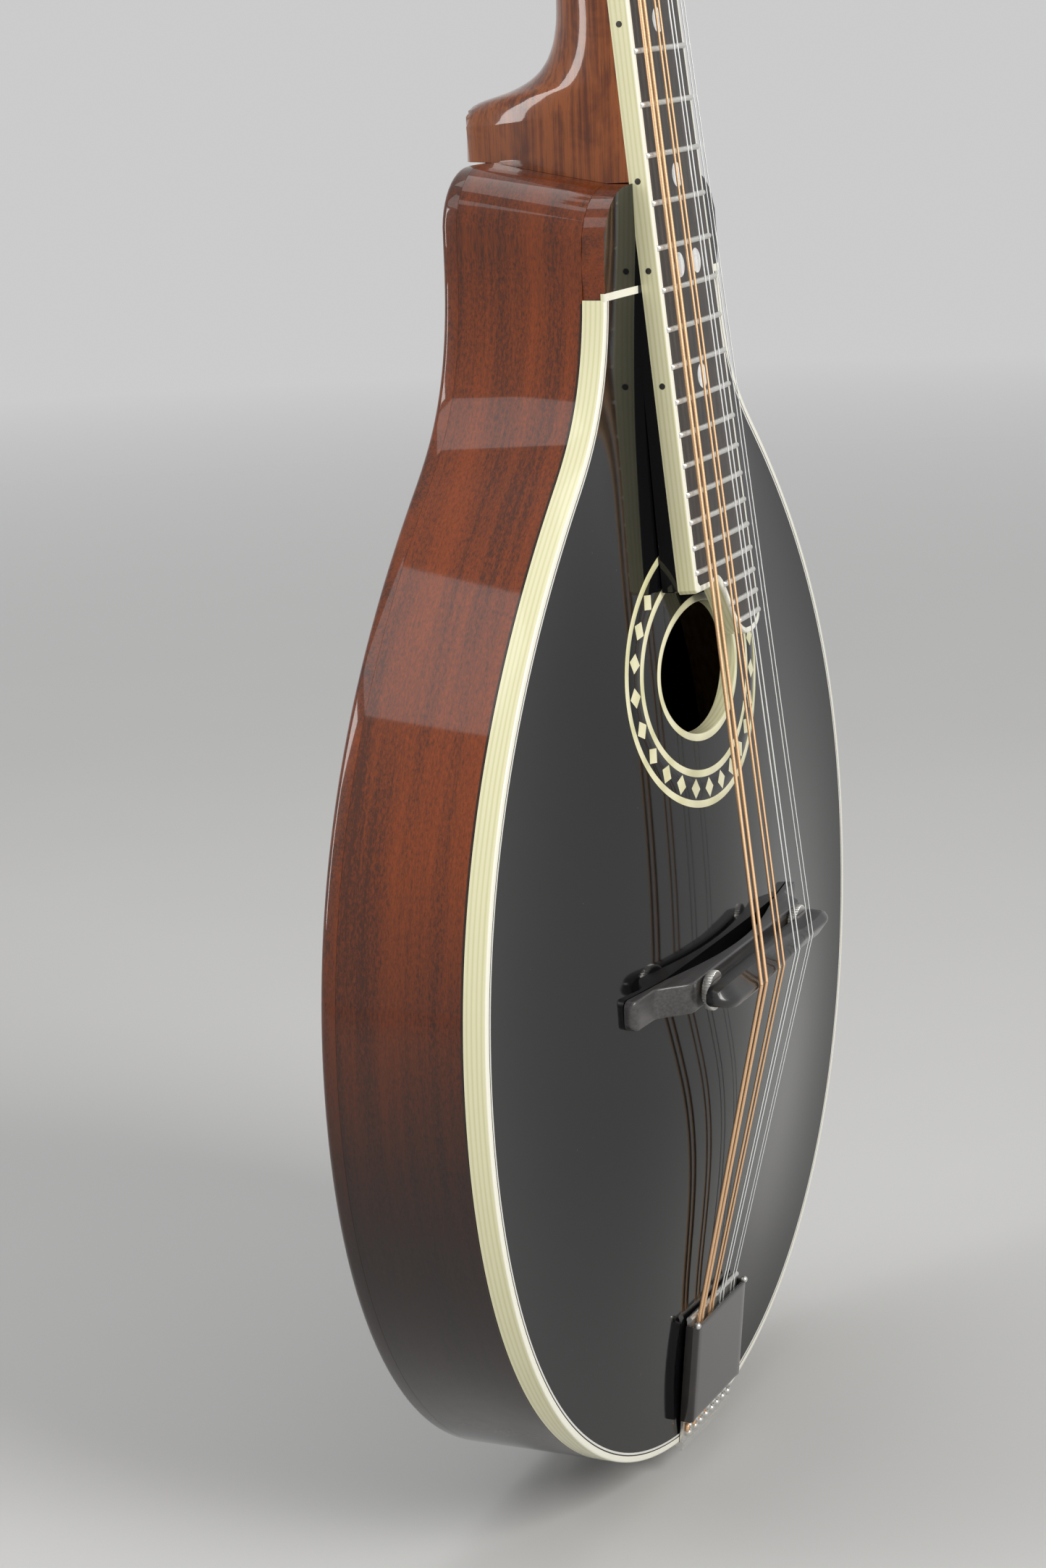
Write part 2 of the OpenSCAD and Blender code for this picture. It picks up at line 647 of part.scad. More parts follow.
// Half outline of the head from its root to its crown
head_edge = concat(
    curve([nut_w / 2 + 1, 2], [nut_w / 2 + 3, 16], [head_half * 0.62, 16],
          [head_half * 0.86, 22], 8),
    curve([head_half * 0.86, 22], [head_half * 0.95, 24], [head_half * 0.9, 40],
          [head_half * 0.92, 62], 8),
    curve([head_half * 0.92, 62], [head_half * 0.95, 92], [head_half, 110],
          [head_half, head_len - 14], 8),
    curve([head_half, head_len - 14], [head_half, head_len - 4], [head_half * 0.75, head_len - 9],
          [head_half * 0.45, head_len - 4], 8),
    curve([head_half * 0.45, head_len - 4], [head_half * 0.3, head_len - 1.5],
          [head_half * 0.15, head_len], [0, head_len], 5));
head_n = len(head_edge);
module head_plan() {
    polygon(concat([[0, 0.01]], [[nut_w / 2 + 1, 0.01]], head_edge,
        [for (i = [head_n - 2:-1:0]) [-head_edge[i][0], head_edge[i][1]]], [[-nut_w / 2 - 1, 0.01]]));
}
module neck() {
    color("#6d3317") place() difference() {
        union() {
            intersection() {
                on_neck() neck_shaft();
                above_joint();
                on_neck() union() {
                    box([-FAR, board_t, -FAR], [FAR, FAR, nut_t]);
                    box([-FAR, board_t + 2, -FAR], [FAR, FAR, FAR]);
                }
            }
            on_head() slab(veneer_t, veneer_t + head_t) head_plan();
            tenon(0, front_edge);
        }
        on_head() box([-FAR / 4, -FAR, 0], [FAR / 4, veneer_t, FAR]);
        on_neck() bar_space();
        on_head() plate_screw_set(0);
        each_tuner() along_y(bushing_r, -1, veneer_t + bushing_in);
        each_tuner() along_y(tuner_r + 0.6, 0, FAR / 8);
    }
}
bar_w = 5;
bar_d = 9;
module bar_space() {
    box([-bar_w / 2, board_t, -(nut_above - 12)], [bar_w / 2, board_t + bar_d, -8]);
}
module neck_bar() { color("#4b4f55") place() on_neck() bar_space(); }
module headstock_veneer() {
    color("#0d0b0a") place() difference() {
        on_head() slab(0, veneer_t) head_plan();
        each_tuner() along_y(bushing_r, -1, veneer_t + 1);
    }
}

// ================= Strings =================
// Courses 0 to 3 are G, D, A and E; s is -1 or 1 for the two strings of a pair
STRING_R = [0.5, 0.34, 0.21, 0.15];
COURSE = [-1, -1 / 3, 1 / 3, 1];
nut_spread = nut_w - 6.2;
nut_pair = 2.1;
string_height = 3.9;
bridge_comp = [3.6, 2.6, 1.9, 1.1];
function rise(x) = -x * x / 2 / board_r;
function nut_local(c, s) = let (x = COURSE[c] * nut_spread / 2 + s * nut_pair / 2)
    [x, -crown_rise - fret_h - 0.35 - STRING_R[c] - rise(x)];
function nut_point(c, s, dz) = neck_point([nut_local(c, s)[0], nut_local(c, s)[1], dz]);
// Slot open to the front of the nut
module nut_groove(r, p) {
    translate([p[0], p[1], -1]) {
        cylinder(r = r, h = nut_t + 2, $fn = 24);
        translate([-r, -2, 0]) cube([2 * r, 2, nut_t + 2]);
    }
}
function saddle_local(c, s) = let (x = COURSE[c] * bridge_spread / 2 + s * pair_gap / 2)
    [x, -string_height - bridge_spread * bridge_spread / 8 / board_r - rise(x),
     -scale_len - bridge_comp[c]];
function saddle_point(c, s) = neck_point(saddle_local(c, s));
// Tail frame: tilted with the cover, z towards the bridge
cover_tilt = 5.7;
cover_edge_x = 12.5;
base_plate_y = [-0.85, -0.05];
lip_z = cover_len + 1.5;
lip_r = 0.8;
hook_z = 5;
hook_r = 0.55;
module on_tail() { rotate([cover_tilt, 0, 0]) children(); }
function tail_point(p) = [p[0], p[1] * cos(cover_tilt) - p[2] * sin(cover_tilt),
                          p[1] * sin(cover_tilt) + p[2] * cos(cover_tilt)];
function tail_x(c, s) = COURSE[c] * cover_edge_x + s * 1.2;
function lip_point(c, s) = tail_point([tail_x(c, s), 0.2 - 2 * lip_r - STRING_R[c] - 0.03, lip_z]);
function hook_turn_r(c) = hook_r + STRING_R[c] + 0.04;
function hook_x(c, s) = tail_x(c, s) + s * hook_turn_r(c);
function hook_points(c, s) = [for (k = [0:7]) let (a = 70 - 250 / 7 * k, r = hook_turn_r(c) * 1.04)
    tail_point([hook_x(c, s) + s * r * cos(a), base_plate_y[0] - STRING_R[c] - 0.05, hook_z + r * sin(a)])];

// Bass strings go to posts 1 to 4 and treble strings to posts 5 to 8, the outer ones lowest
function post_of(c, s) = c < 2 ? 2 * c + (s > 0 ? 2 : 1) : 2 * (3 - c) + (s > 0 ? 5 : 6);
function post_side(n) = n < 5 ? -1 : 1;
function post_z(n) = 34 + ((n - 1) % 4) * post_pitch;
wrap_y = -veneer_t - 5.5;
WRAP_STEP = 12;
WRAPS = 2.5;
function wrap_points(c, s) = let (n = post_of(c, s), k = post_side(n), r = STRING_R[c],
    turn = (tuner_r + r + run_gap) / cos(180 / WRAP_STEP))
    [for (i = [0:WRAP_STEP * WRAPS]) let (a = 360 / WRAP_STEP * i)
        head_point([k * (post_x - turn * cos(a)), wrap_y + 2.06 * r * i / WRAP_STEP, post_z(n) + turn * sin(a)])];
function string_points(c, s) = concat(hook_points(c, s),
    [lip_point(c, s), saddle_point(c, s), nut_point(c, s, 0), nut_point(c, s, nut_t)], wrap_points(c, s));

// Six-sided cord of radius r along a route that never runs along Y
CORD_SIDES = 6;
module cord(p, r) {
    n = len(p);
    m = CORD_SIDES;
    function heading(i) = unit(unit(p[min(i + 1, n - 1)] - p[min(i, n - 2)])
        + unit(p[max(i, 1)] - p[max(i - 1, 0)]));
    points = [for (i = [0:n - 1]) let (d = heading(i), u = unit(cross(d, [0, 1, 0])), v = cross(u, d))
        each [for (k = [0:m - 1]) p[i] + r * (cos(360 / m * k) * u + sin(360 / m * k) * v)]];
    polyhedron(points = points, faces = concat(
        [[for (k = [m - 1:-1:0]) k]], [[for (k = [0:m - 1]) (n - 1) * m + k]],
        [for (i = [0:n - 2]) for (k = [0:m - 1]) let (a = i * m + k, b = i * m + (k + 1) % m)
            each [[a, b, b + m], [a, b + m, a + m]]]));
}
module one_string(c, s) { cord(string_points(c, s), STRING_R[c]); }
module strings_wound() {
    color("#c98a4b") place() for (c = [0, 1]) for (s = [-1, 1]) one_string(c, s);
}
module strings_plain() {
    color("#cfd2d4") place() for (c = [2, 3]) for (s = [-1, 1]) one_string(c, s);
}

// ================= Bridge =================
bridge_mid = saddle_point(1, 1) * 0.5 + saddle_point(2, -1) * 0.5;
bridge_z = bridge_mid[2];
foot_in = 21;
saddle_t = 7;
base_h = 7.2;
post_base_y = -arch(post_gap / 2, bridge_z) - base_h;
wheel_y = post_base_y - 0.8;
saddle_y = wheel_y - wheel_t - 0.15;
function seat_y(x) = -max([for (dz = [-1, 0, 1]) arch(x, bridge_z + dz * base_t / 2)]) - 0.05;
tip_y = seat_y(base_len / 2) - 1.8;
function base_top(x) = let (u = (base_len / 2 - abs(x)) / (base_len / 2 - post_gap / 2 - 5))
    u < 1 ? tip_y + (post_base_y - tip_y) * u * u * (3 - 2 * u) : post_base_y;
module bridge_base() {
    xs = [for (i = [0:40]) base_len * (i / 40 - 0.5)];
    arch_xs = [for (i = [0:20]) (base_len / 2 - foot_in) * (i / 10 - 1)];
    color("#14100e") place() translate([0, 0, bridge_z]) difference() {
        standing(-base_t / 2, base_t / 2) polygon(concat(
            [for (x = xs) [x, base_top(x)]],
            [for (i = [40:-1:0]) [xs[i], seat_y(xs[i])]]));
        standing(-base_t, base_t) polygon(concat(
            [for (x = arch_xs) [x, seat_y(x) - 2.6 * cos(90 * x / (base_len / 2 - foot_in))]],
            [[base_len / 2 - foot_in, 20], [foot_in - base_len / 2, 20]]));
        for (s = [-1, 1]) translate([s * post_gap / 2, 0, 0]) along_y(post_r, -FAR / 8, post_base_y + 5);
    }
}
post_top = saddle_y - 5.2;
module bridge_posts() {
    color("#b98c3e") place() translate([0, 0, bridge_z]) for (s = [-1, 1])
        translate([s * post_gap / 2, 0, 0]) along_y(post_r, post_top, post_base_y + 5);
}
KNURLS = 24;
module thumbwheel(s) {
    place() translate([s * post_gap / 2, 0, bridge_z]) difference() {
        along_y(wheel_r, wheel_y - wheel_t, wheel_y);
        along_y(post_r + run_gap, wheel_y - wheel_t - 1, wheel_y + 1);
        for (k = [0:KNURLS - 1]) rotate([0, 360 * k / KNURLS, 0]) translate([wheel_r + 0.12, 0, 0])
            along_y(0.4, wheel_y - wheel_t - 1, wheel_y + 1);
    }
}
module thumbwheel_bass() { color("#c6c4bd") thumbwheel(-1); }
module thumbwheel_treble() { color("#c6c4bd") thumbwheel(1); }

// Top of the saddle under a string at x, with steps for each course's length
function saddle_top(x) = nut_y + (-string_height - bridge_spread * bridge_spread / 8 / board_r - rise(x))
    * cos(neck_tilt) + (-scale_len - bridge_comp[1]) * sin(neck_tilt) + 0.42;
module bridge_saddle() {
    xs = [for (i = [0:32]) (saddle_len - 14) * (i / 32 - 0.5)];
    color("#14100e") place() translate([0, 0, bridge_z]) difference() {
        union() {
            standing(-saddle_t / 2, saddle_t / 2) polygon(concat(
                [for (x = xs) [x, saddle_top(x) + 1.3]],
                [for (i = [0:8]) [saddle_len / 2 - 7 + 7 * sin(i * 11.25),
                    saddle_y - 5 - (saddle_y - 5 - saddle_top(0) - 2.2) * cos(i * 11.25)]],
                [[saddle_len / 2 - 0.8, saddle_y], [-saddle_len / 2 + 0.8, saddle_y]],
                [for (i = [8:-1:0]) [-saddle_len / 2 + 7 - 7 * sin(i * 11.25),
                    saddle_y - 5 - (saddle_y - 5 - saddle_top(0) - 2.2) * cos(i * 11.25)]]));
            for (c = [0:3]) translate([0, 0, bridge_mid[2] - bridge_z])
                let (x = COURSE[c] * bridge_spread / 2, z = saddle_point(c, 0)[2] - bridge_z)
                standing(z - 0.4, z + 0.9) polygon([for (p = [[-4, 1.5], [-3.6, 0], [3.6, 0], [4, 1.5]])
                    [x + p[0], p[1] == 0 ? saddle_point(c, p[0] > 0 ? 1 : -1)[1] + STRING_R[c] + 0.14
                        : saddle_top(x + p[0]) + 1.5]]);
        }
        for (s = [-1, 1]) translate([s * post_gap / 2, 0, 0]) {
            along_y(post_r + run_gap, post_top - 3.2, saddle_y + 1);
        }
    }
}

// ================= Tail =================
pin_in = 12;
tail_screw_in = 11;
screw_r = 1.3;
TAIL_SCREWS = [[-12, -11], [12, -11], [0, 11.5]];
module tail_screw_holes(depth) {
    tail_screw_row() translate([0, 0, -2]) cylinder(r = screw_r, h = depth + 2, $fn = 24);
}
// Sheet against the tail: wide under the cover, narrow round the pin
module tail_plan() {
    w = tail_w / 2 - 0.9;
    polygon([[-w, -sheet_t], [-w, pin_y - 8], [-9, pin_y + 8], [-5, pin_y + 15],
             [5, pin_y + 15], [9, pin_y + 8], [w, pin_y - 8], [w, -sheet_t]]);
}
function tail_rise(x) = lookup(abs(x), [for (k = [0:8]) half_edge[k]]);
module tail_screw_row() {
    for (p = TAIL_SCREWS) translate([p[0], pin_y + p[1], tail_rise(p[0])]) children();
}
module tailpiece() {
    w = tail_w / 2 - 0.9;
    color("#c6c4bd") place() difference() {
        union() {
            intersection() {
                slab(-1.2, body_depth) edge_ring(-sheet_t, 0);
                standing(-4, 8) tail_plan();
            }
            on_tail() {
                box([-w, base_plate_y[0], -sheet_t], [w, base_plate_y[1], lip_z]);
                translate([0, 0.2 - lip_r, lip_z]) along_x(lip_r, -w, w);
                for (c = [0:3]) for (s = [-1, 1]) translate([hook_x(c, s), 0, hook_z])
                    along_y(hook_r, cover_gap + 0.3, base_plate_y[0] + 0.1);
            }
        }
        translate([0, pin_y, -5]) cylinder(r = pin_r + run_gap, h = 10, $fn = 48);
        tail_screw_row() translate([0, 0, -5]) cylinder(r = screw_r, h = 10, $fn = 24);
    }
}
cover_gap = -2.6;
cover_t = 1;
cover_z = 8;
module tailpiece_cover() {
    w = tail_w / 2;
    color("#2a1810") place() on_tail() difference() {
        slab(cover_gap - cover_t, -0.1) polygon(concat(
            [[-w, cover_z], [w, cover_z], [w, cover_len - 1.5]],
            [for (i = [12:-1:0]) [(w - 1.5) * (i / 6 - 1), cover_len]], [[-w, cover_len - 1.5]]));
        box([-w + 0.8, cover_gap, 0], [w - 0.8, 1, cover_len + 5]);
    }
}
module screws() {
    color("#c6c4bd") place() {
        tail_screw_row() {
            translate([0, 0, -sheet_t - 0.3]) cylinder(r = screw_r, h = sheet_t + tail_screw_in - 1, $fn = 24);
            translate([0, 0, -sheet_t - 1.3]) cylinder(r1 = 1.6, r2 = 2.5, h = 1, $fn = 24);
        }
        plate_screws();
    }
}
module end_pin() {
    color("#14100e") place() translate([0, pin_y, 0]) rotate([180, 0, 0]) rotate_extrude($fn = 64)
        polygon([[0, -pin_in + 1], [pin_r, -pin_in + 1], [pin_r, sheet_t + 0.6], [pin_r + 0.8, sheet_t + 0.6],
                 [pin_r + 0.4, pin_len - pin_head_len - 1], [pin_head_r, pin_len - pin_head_len],
                 [pin_head_r, pin_len], [0, pin_len]]);
}

// ================= Tuners =================
bushing_r = 4.6;
bushing_in = 3;
plate_w = 14.5;
plate_y = veneer_t + head_t;
gear_gap = 1.5;
gear_t = 2.6;
gear_y = plate_y + sheet_t + gear_gap;
gear_pitch_r = 4.7;
worm_offset = 6.9;
worm_y = gear_y + gear_t / 2;
worm_len = 8;
worm_lead = 2 * PI * gear_pitch_r / gear_teeth;
shaft_r = 1.5;
lug_t = 1.8;
lug_at = worm_len / 2 + 1.2;
module each_tuner() {
    on_head() for (n = TUNERS) translate([post_side(n) * post_x, 0, post_z(n)]) children();
}
module at_post(n) { place() on_head() translate([post_side(n) * post_x, 0, post_z(n)]) children(); }
plate_z0 = post_z(1) - 10;
plate_z1 = post_z(4) + 15;
module tuner_plates() {
    color("#c6c4bd") place() on_head() difference() {
        union() {
            for (s = [-1, 1]) translate([s * post_x, 0, 0]) slab(plate_y, plate_y + sheet_t)
                polygon([[-plate_w / 2, plate_z0], [plate_w / 2, plate_z0], [plate_w / 2, plate_z1],
                         [-plate_w / 2, plate_z1]]);
            for (n = TUNERS) for (t = [-1, 1])
                translate([post_side(n) * post_x + t * (lug_at + lug_t / 2), 0, post_z(n) + worm_offset])
                    box([-lug_t / 2, plate_y + sheet_t - ONE, -2.4], [lug_t / 2, worm_y + 2.6, 2.4]);
        }
        for (n = TUNERS) translate([post_side(n) * post_x, 0, post_z(n)]) {
            along_y(tuner_r + run_gap, 0, FAR / 8);
            translate([0, worm_y, worm_offset]) along_x(shaft_r + run_gap, -20, 20);
        }
        plate_screw_set(0);
    }
}
PLATE_SCREWS = [-7.4, post_pitch * 2 - 10.5, post_pitch * 4 - 10.5];
module plate_screw_set(up) {
    for (s = [-1, 1]) for (z = PLATE_SCREWS) translate([s * (post_x - (z < 0 ? 0 : 3.5)), 0, post_z(1) + z])
        along_y(1.2, plate_y - 6, plate_y + sheet_t + up);
}
module plate_screws() {
    on_head() {
        plate_screw_set(0);
        for (s = [-1, 1]) for (z = PLATE_SCREWS)
            translate([s * (post_x - (z < 0 ? 0 : 3.5)), 0, post_z(1) + z])
            translate([0, plate_y + sheet_t + 0.9, 0]) rotate([90, 0, 0])
            cylinder(r1 = 1.4, r2 = 2.1, h = 0.9, $fn = 24);
    }
}
module post_bushings() {
    color("#c6c4bd") place() each_tuner() difference() {
        union() {
            along_y(bushing_r, -0.0, veneer_t + bushing_in);
            along_y(bushing_r + 1, -1, 0);
        }
        along_y(tuner_r + run_gap, -5, 20);
    }
}
post_front = -veneer_t - 10.5;
module gear_plan() {
    tooth = 360 / gear_teeth;
    polygon([for (k = [0:gear_teeth - 1]) for (p = [[-0.26, 4.1], [-0.13, 5.1], [0.13, 5.1], [0.26, 4.1]])
        p[1] * [sin(tooth * (k + p[0])), cos(tooth * (k + p[0]))]]);
}
module tuner_post(n) {
    color("#c6c4bd") at_post(n) difference() {
        union() {
            along_y(tuner_r, post_front, gear_y + gear_t);
            slab(gear_y, gear_y + gear_t) gear_plan();
            along_y(1.6, gear_y + gear_t - ONE, gear_y + gear_t + 1);
        }
        translate([0, -veneer_t - 8.6, 0]) along_x(0.7, -9, 9);
    }
}
// Thread of the worm: a ridge that climbs along X
RIDGE_STEP = 16;
RIDGE_TURNS = 3;
module worm_ridge() {
    n = RIDGE_STEP * RIDGE_TURNS;
    function at(i, r, dx) = let (a = 360 * i / RIDGE_STEP)
        [worm_lead * (i / RIDGE_STEP - RIDGE_TURNS / 2) + dx, r * sin(a), -r * cos(a)];
    points = [for (i = [0:n]) each [at(i, 1.5, -0.42), at(i, 2.6, -0.2), at(i, 2.6, 0.2), at(i, 1.5, 0.42)]];
    polyhedron(points = points, faces = concat([[3, 2, 1, 0]], [[4 * n, 4 * n + 1, 4 * n + 2, 4 * n + 3]],
        [for (i = [0:n - 1]) for (k = [0:3]) let (a = 4 * i + k, b = 4 * i + (k + 1) % 4)
            each [[a, b + 4, a + 4], [a, b, b + 4]]]));
}
shaft_out = head_half - post_x + 9;
module tuner_shaft(n) {
    s = post_side(n);
    color("#c6c4bd") at_post(n) translate([0, worm_y, worm_offset]) {
        along_x(shaft_r, min(s * shaft_out, -s * (lug_at + lug_t + 0.8)),
                max(s * shaft_out, -s * (lug_at + lug_t + 0.8)));
        along_x(1.7, -worm_len / 2 - 1, worm_len / 2 + 1);
        worm_ridge();
    }
}
module tuner_button(n) {
    s = post_side(n);
    color("#e9e2c4") at_post(n) translate([s * (shaft_out - 3 + button_len / 2), worm_y, worm_offset])
        difference() {
            slab(-button_t / 2, button_t / 2) polygon([for (i = [0:35])
                [button_len / 2 * sign(cos(10 * i)) * pow(abs(cos(10 * i)), 0.75),
                 button_w / 2 * sign(sin(10 * i)) * pow(abs(sin(10 * i)), 0.75)]]);
            along_x(shaft_r, min(-s * button_len, s * (3 - button_len / 2)),
                    max(-s * button_len, s * (3 - button_len / 2)));
        }
}

top_plate();
back_plate();
rim();
head_block();
tail_block();
linings();
body_binding();
purfling();
soundhole_binding();
rosette_rings();
rosette_band();
rosette_diamonds();
top_brace();
neck();
neck_bar();
headstock_veneer();
fretboard();
fretboard_binding();
fretboard_riser();
frets();
face_dots();
side_dots();
nut();
bridge_base();
bridge_posts();
thumbwheel_bass();
thumbwheel_treble();
bridge_saddle();
tailpiece();
tailpiece_cover();
screws();
end_pin();
tuner_plates();
post_bushings();
strings_wound();
strings_plain();
for (n = TUNERS) {
    tuner_post(n);
    tuner_shaft(n);
    tuner_button(n);
}
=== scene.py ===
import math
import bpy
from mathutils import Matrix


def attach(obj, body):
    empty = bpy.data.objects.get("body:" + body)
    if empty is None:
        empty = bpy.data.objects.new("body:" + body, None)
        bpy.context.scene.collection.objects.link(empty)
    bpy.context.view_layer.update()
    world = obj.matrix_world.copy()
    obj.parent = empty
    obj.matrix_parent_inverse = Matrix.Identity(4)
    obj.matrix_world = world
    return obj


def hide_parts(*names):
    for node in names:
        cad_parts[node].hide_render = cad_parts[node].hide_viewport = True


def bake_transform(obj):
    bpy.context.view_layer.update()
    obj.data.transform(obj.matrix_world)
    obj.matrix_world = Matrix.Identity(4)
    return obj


bl_info = {
    "name": "Carved Mandolin",
    "version": (1, 0, 0),
    "blender": (4, 5, 0),
    "location": "View3D > Sidebar > Mandolin",
    "description": "Builds the visible pieces and finishes of a carved-top mandolin",
    "category": "Add Mesh",
}

import bmesh
import bpy
import numpy as np
from bpy.props import FloatProperty, FloatVectorProperty, IntProperty, PointerProperty
from mathutils import Matrix, Vector

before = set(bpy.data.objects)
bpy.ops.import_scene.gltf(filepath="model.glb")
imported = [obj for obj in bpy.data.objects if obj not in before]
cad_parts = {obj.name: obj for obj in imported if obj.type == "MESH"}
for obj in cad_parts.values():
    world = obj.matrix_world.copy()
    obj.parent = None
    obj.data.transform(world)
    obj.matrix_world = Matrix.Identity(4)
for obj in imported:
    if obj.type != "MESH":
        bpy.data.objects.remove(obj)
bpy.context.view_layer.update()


# ---------------------------------------------------------------- sizes and colours


def length(name, text, default, low=0.0, high=1.0):
    return FloatProperty(name=name, description=text, default=default, min=low, max=high, unit="LENGTH")


def angle(name, text, degrees):
    return FloatProperty(name=name, description=text, default=math.radians(degrees), unit="ROTATION")


def colour(name, text, rgb):
    return FloatVectorProperty(name=name, description=text, default=rgb, size=3, min=0, max=1,
                               subtype="COLOR")


class MandolinBodySizes(bpy.types.PropertyGroup):
    body_width: length("Body width", "Width across the lower bout", 0.254)
    body_length: length("Body length", "From the tail to the neck joint", 0.339)
    body_depth: length("Body depth", "From the front edge to the back edge", 0.044)
    shoulder_width: length("Shoulder width", "Width of the body at the neck", 0.0766)
    shoulder_round: length("Shoulder rounding", "Radius of the two upper corners", 0.016)
    front_arch: length("Front arch", "Height of the front arch above its edge", 0.013)
    back_arch: length("Back arch", "Height of the back arch above its edge", 0.011)
    front_edge: length("Front edge", "Height of the binding", 0.006)
    back_edge: length("Back edge", "Thickness of the back at its edge", 0.0044)
    binding_width: length("Binding width", "Width of the binding on the front", 0.0017)
    hole_half_width: length("Hole half width", "Half the sound hole's width", 0.0259)
    hole_half_height: length("Hole half height", "Half the sound hole's height", 0.0169)
    hole_ring: length("Hole ring", "Width of the ring that binds the hole", 0.0021)
    hole_gap: length("Hole gap", "Width of the plain band round the hole", 0.0074)
    ring_width: length("Ring width", "Width of the rosette rings", 0.0019)
    band_width: length("Band width", "Width of the rosette band", 0.006)
    diamond_side: length("Diamond side", "Side of a rosette diamond", 0.0037)
    diamond_count: IntProperty(name="Diamonds", description="Diamonds in a full turn", default=26, min=8)


class MandolinNeckSizes(bpy.types.PropertyGroup):
    scale_length: length("String length", "From the nut to the bridge", 0.3524)
    nut_above: length("Nut height", "Nut above the neck joint", 0.1488)
    neck_tilt: angle("Neck tilt", "Tilt of the neck against the body", 5.8)
    board_lift: length("Board lift", "Fingerboard edge in front of the body at the joint", 0.0041)
    nut_width: length("Nut width", "Width of the fingerboard at the nut", 0.0293)
    board_width: length("Board width", "Width of the fingerboard at its last fret", 0.042)
    board_thickness: length("Board thickness", "Thickness of the fingerboard at its edge", 0.005)
    heel_length: length("Heel length", "Height of the heel above the body's front end", 0.0185)
    shoulder_rise: length("Joint lean",
                          "How much further the body reaches at its back, where the heel seats", 0.0054)
    dot_width: length("Dot width", "Diameter of the pearl dots", 0.0063)
    board_radius: length("Board radius", "Radius of the fingerboard's crown", 0.3)
    board_binding: length("Board binding", "Width of the fingerboard's binding", 0.0017)
    fret_count: IntProperty(name="Frets", description="Number of frets", default=24, min=1)
    fret_height: length("Fret height", "Height of a fret over the board", 0.0009)
    fret_width: length("Fret width", "Width of a fret", 0.0015)
    head_length: length("Head length", "Length of the head", 0.152)
    head_width: length("Head width", "Widest part of the head", 0.076)
    head_thickness: length("Head thickness", "Thickness without the veneer", 0.013)
    veneer: length("Veneer", "Thickness of the head veneer", 0.0015)
    head_tilt: angle("Head tilt", "Tilt of the head against the neck", 14)


class MandolinFittingSizes(bpy.types.PropertyGroup):
    base_length: length("Bridge length", "Length of the bridge base", 0.12)
    base_thickness: length("Bridge thickness", "Thickness of the bridge base", 0.008)
    post_gap: length("Post gap", "Distance between the bridge posts", 0.064)
    saddle_length: length("Saddle length", "Length of the saddle", 0.08)
    wheel_radius: length("Wheel radius", "Radius of a thumbwheel", 0.0052)
    tail_width: length("Tail width", "Width of the tailpiece", 0.037)
    cover_tilt: angle("Cover tilt", "Tilt of the tailpiece against the body", 5.7)
    cover_length: length("Cover length", "Length of the tailpiece cover", 0.036)
    tuner_radius: length("Post radius", "Radius of a string post", 0.003)
    button_length: length("Button length", "Length of a tuner button", 0.014)
    button_width: length("Button width", "Width of a tuner button", 0.015)


class MandolinColours(bpy.types.PropertyGroup):
    lacquer: colour("Lacquer", "Black lacquer of the front", (0.0035, 0.0035, 0.0042))
    wood_light: colour("Wood, light", "Light streaks of the rim and back", (0.156, 0.0275, 0.0012))
    wood_dark: colour("Wood, dark", "Dark streaks of the rim and back", (0.062, 0.0115, 0.0010))
    neck_light: colour("Neck, light", "Light streaks of the neck", (0.27, 0.072, 0.014))
    neck_dark: colour("Neck, dark", "Dark streaks of the neck", (0.105, 0.022, 0.005))
    ivoroid: colour("Ivoroid", "Light lines of the bindings", (0.80, 0.77, 0.50))
    ivoroid_line: colour("Ivoroid line", "Grain lines of the bindings", (0.62, 0.60, 0.30))
    board: colour("Fingerboard", "Colour of the fingerboard", (0.040, 0.034, 0.030))
    metal: colour("Nickel", "Colour of the plated fittings", (0.74, 0.73, 0.70))
    bronze: colour("Bronze", "Colour of the wound strings", (1.0, 0.66, 0.38))
    floor: colour("Floor", "Colour of the floor", (0.62, 0.62, 0.61))


# ---------------------------------------------------------------- the shared layout, in millimetres


def bezier(a, b, c, d, count):
    t = np.linspace(0, 1, count + 1)[1:, None]
    a, b, c, d = (np.array(p, float) for p in (a, b, c, d))
    return (1 - t) ** 3 * a + 3 * (1 - t) ** 2 * t * b + 3 * (1 - t) * t * t * c + t**3 * d


def bell(share):
    share = np.minimum(np.abs(share), 1.0)
    return (1 + np.cos(np.pi * share)) / 2


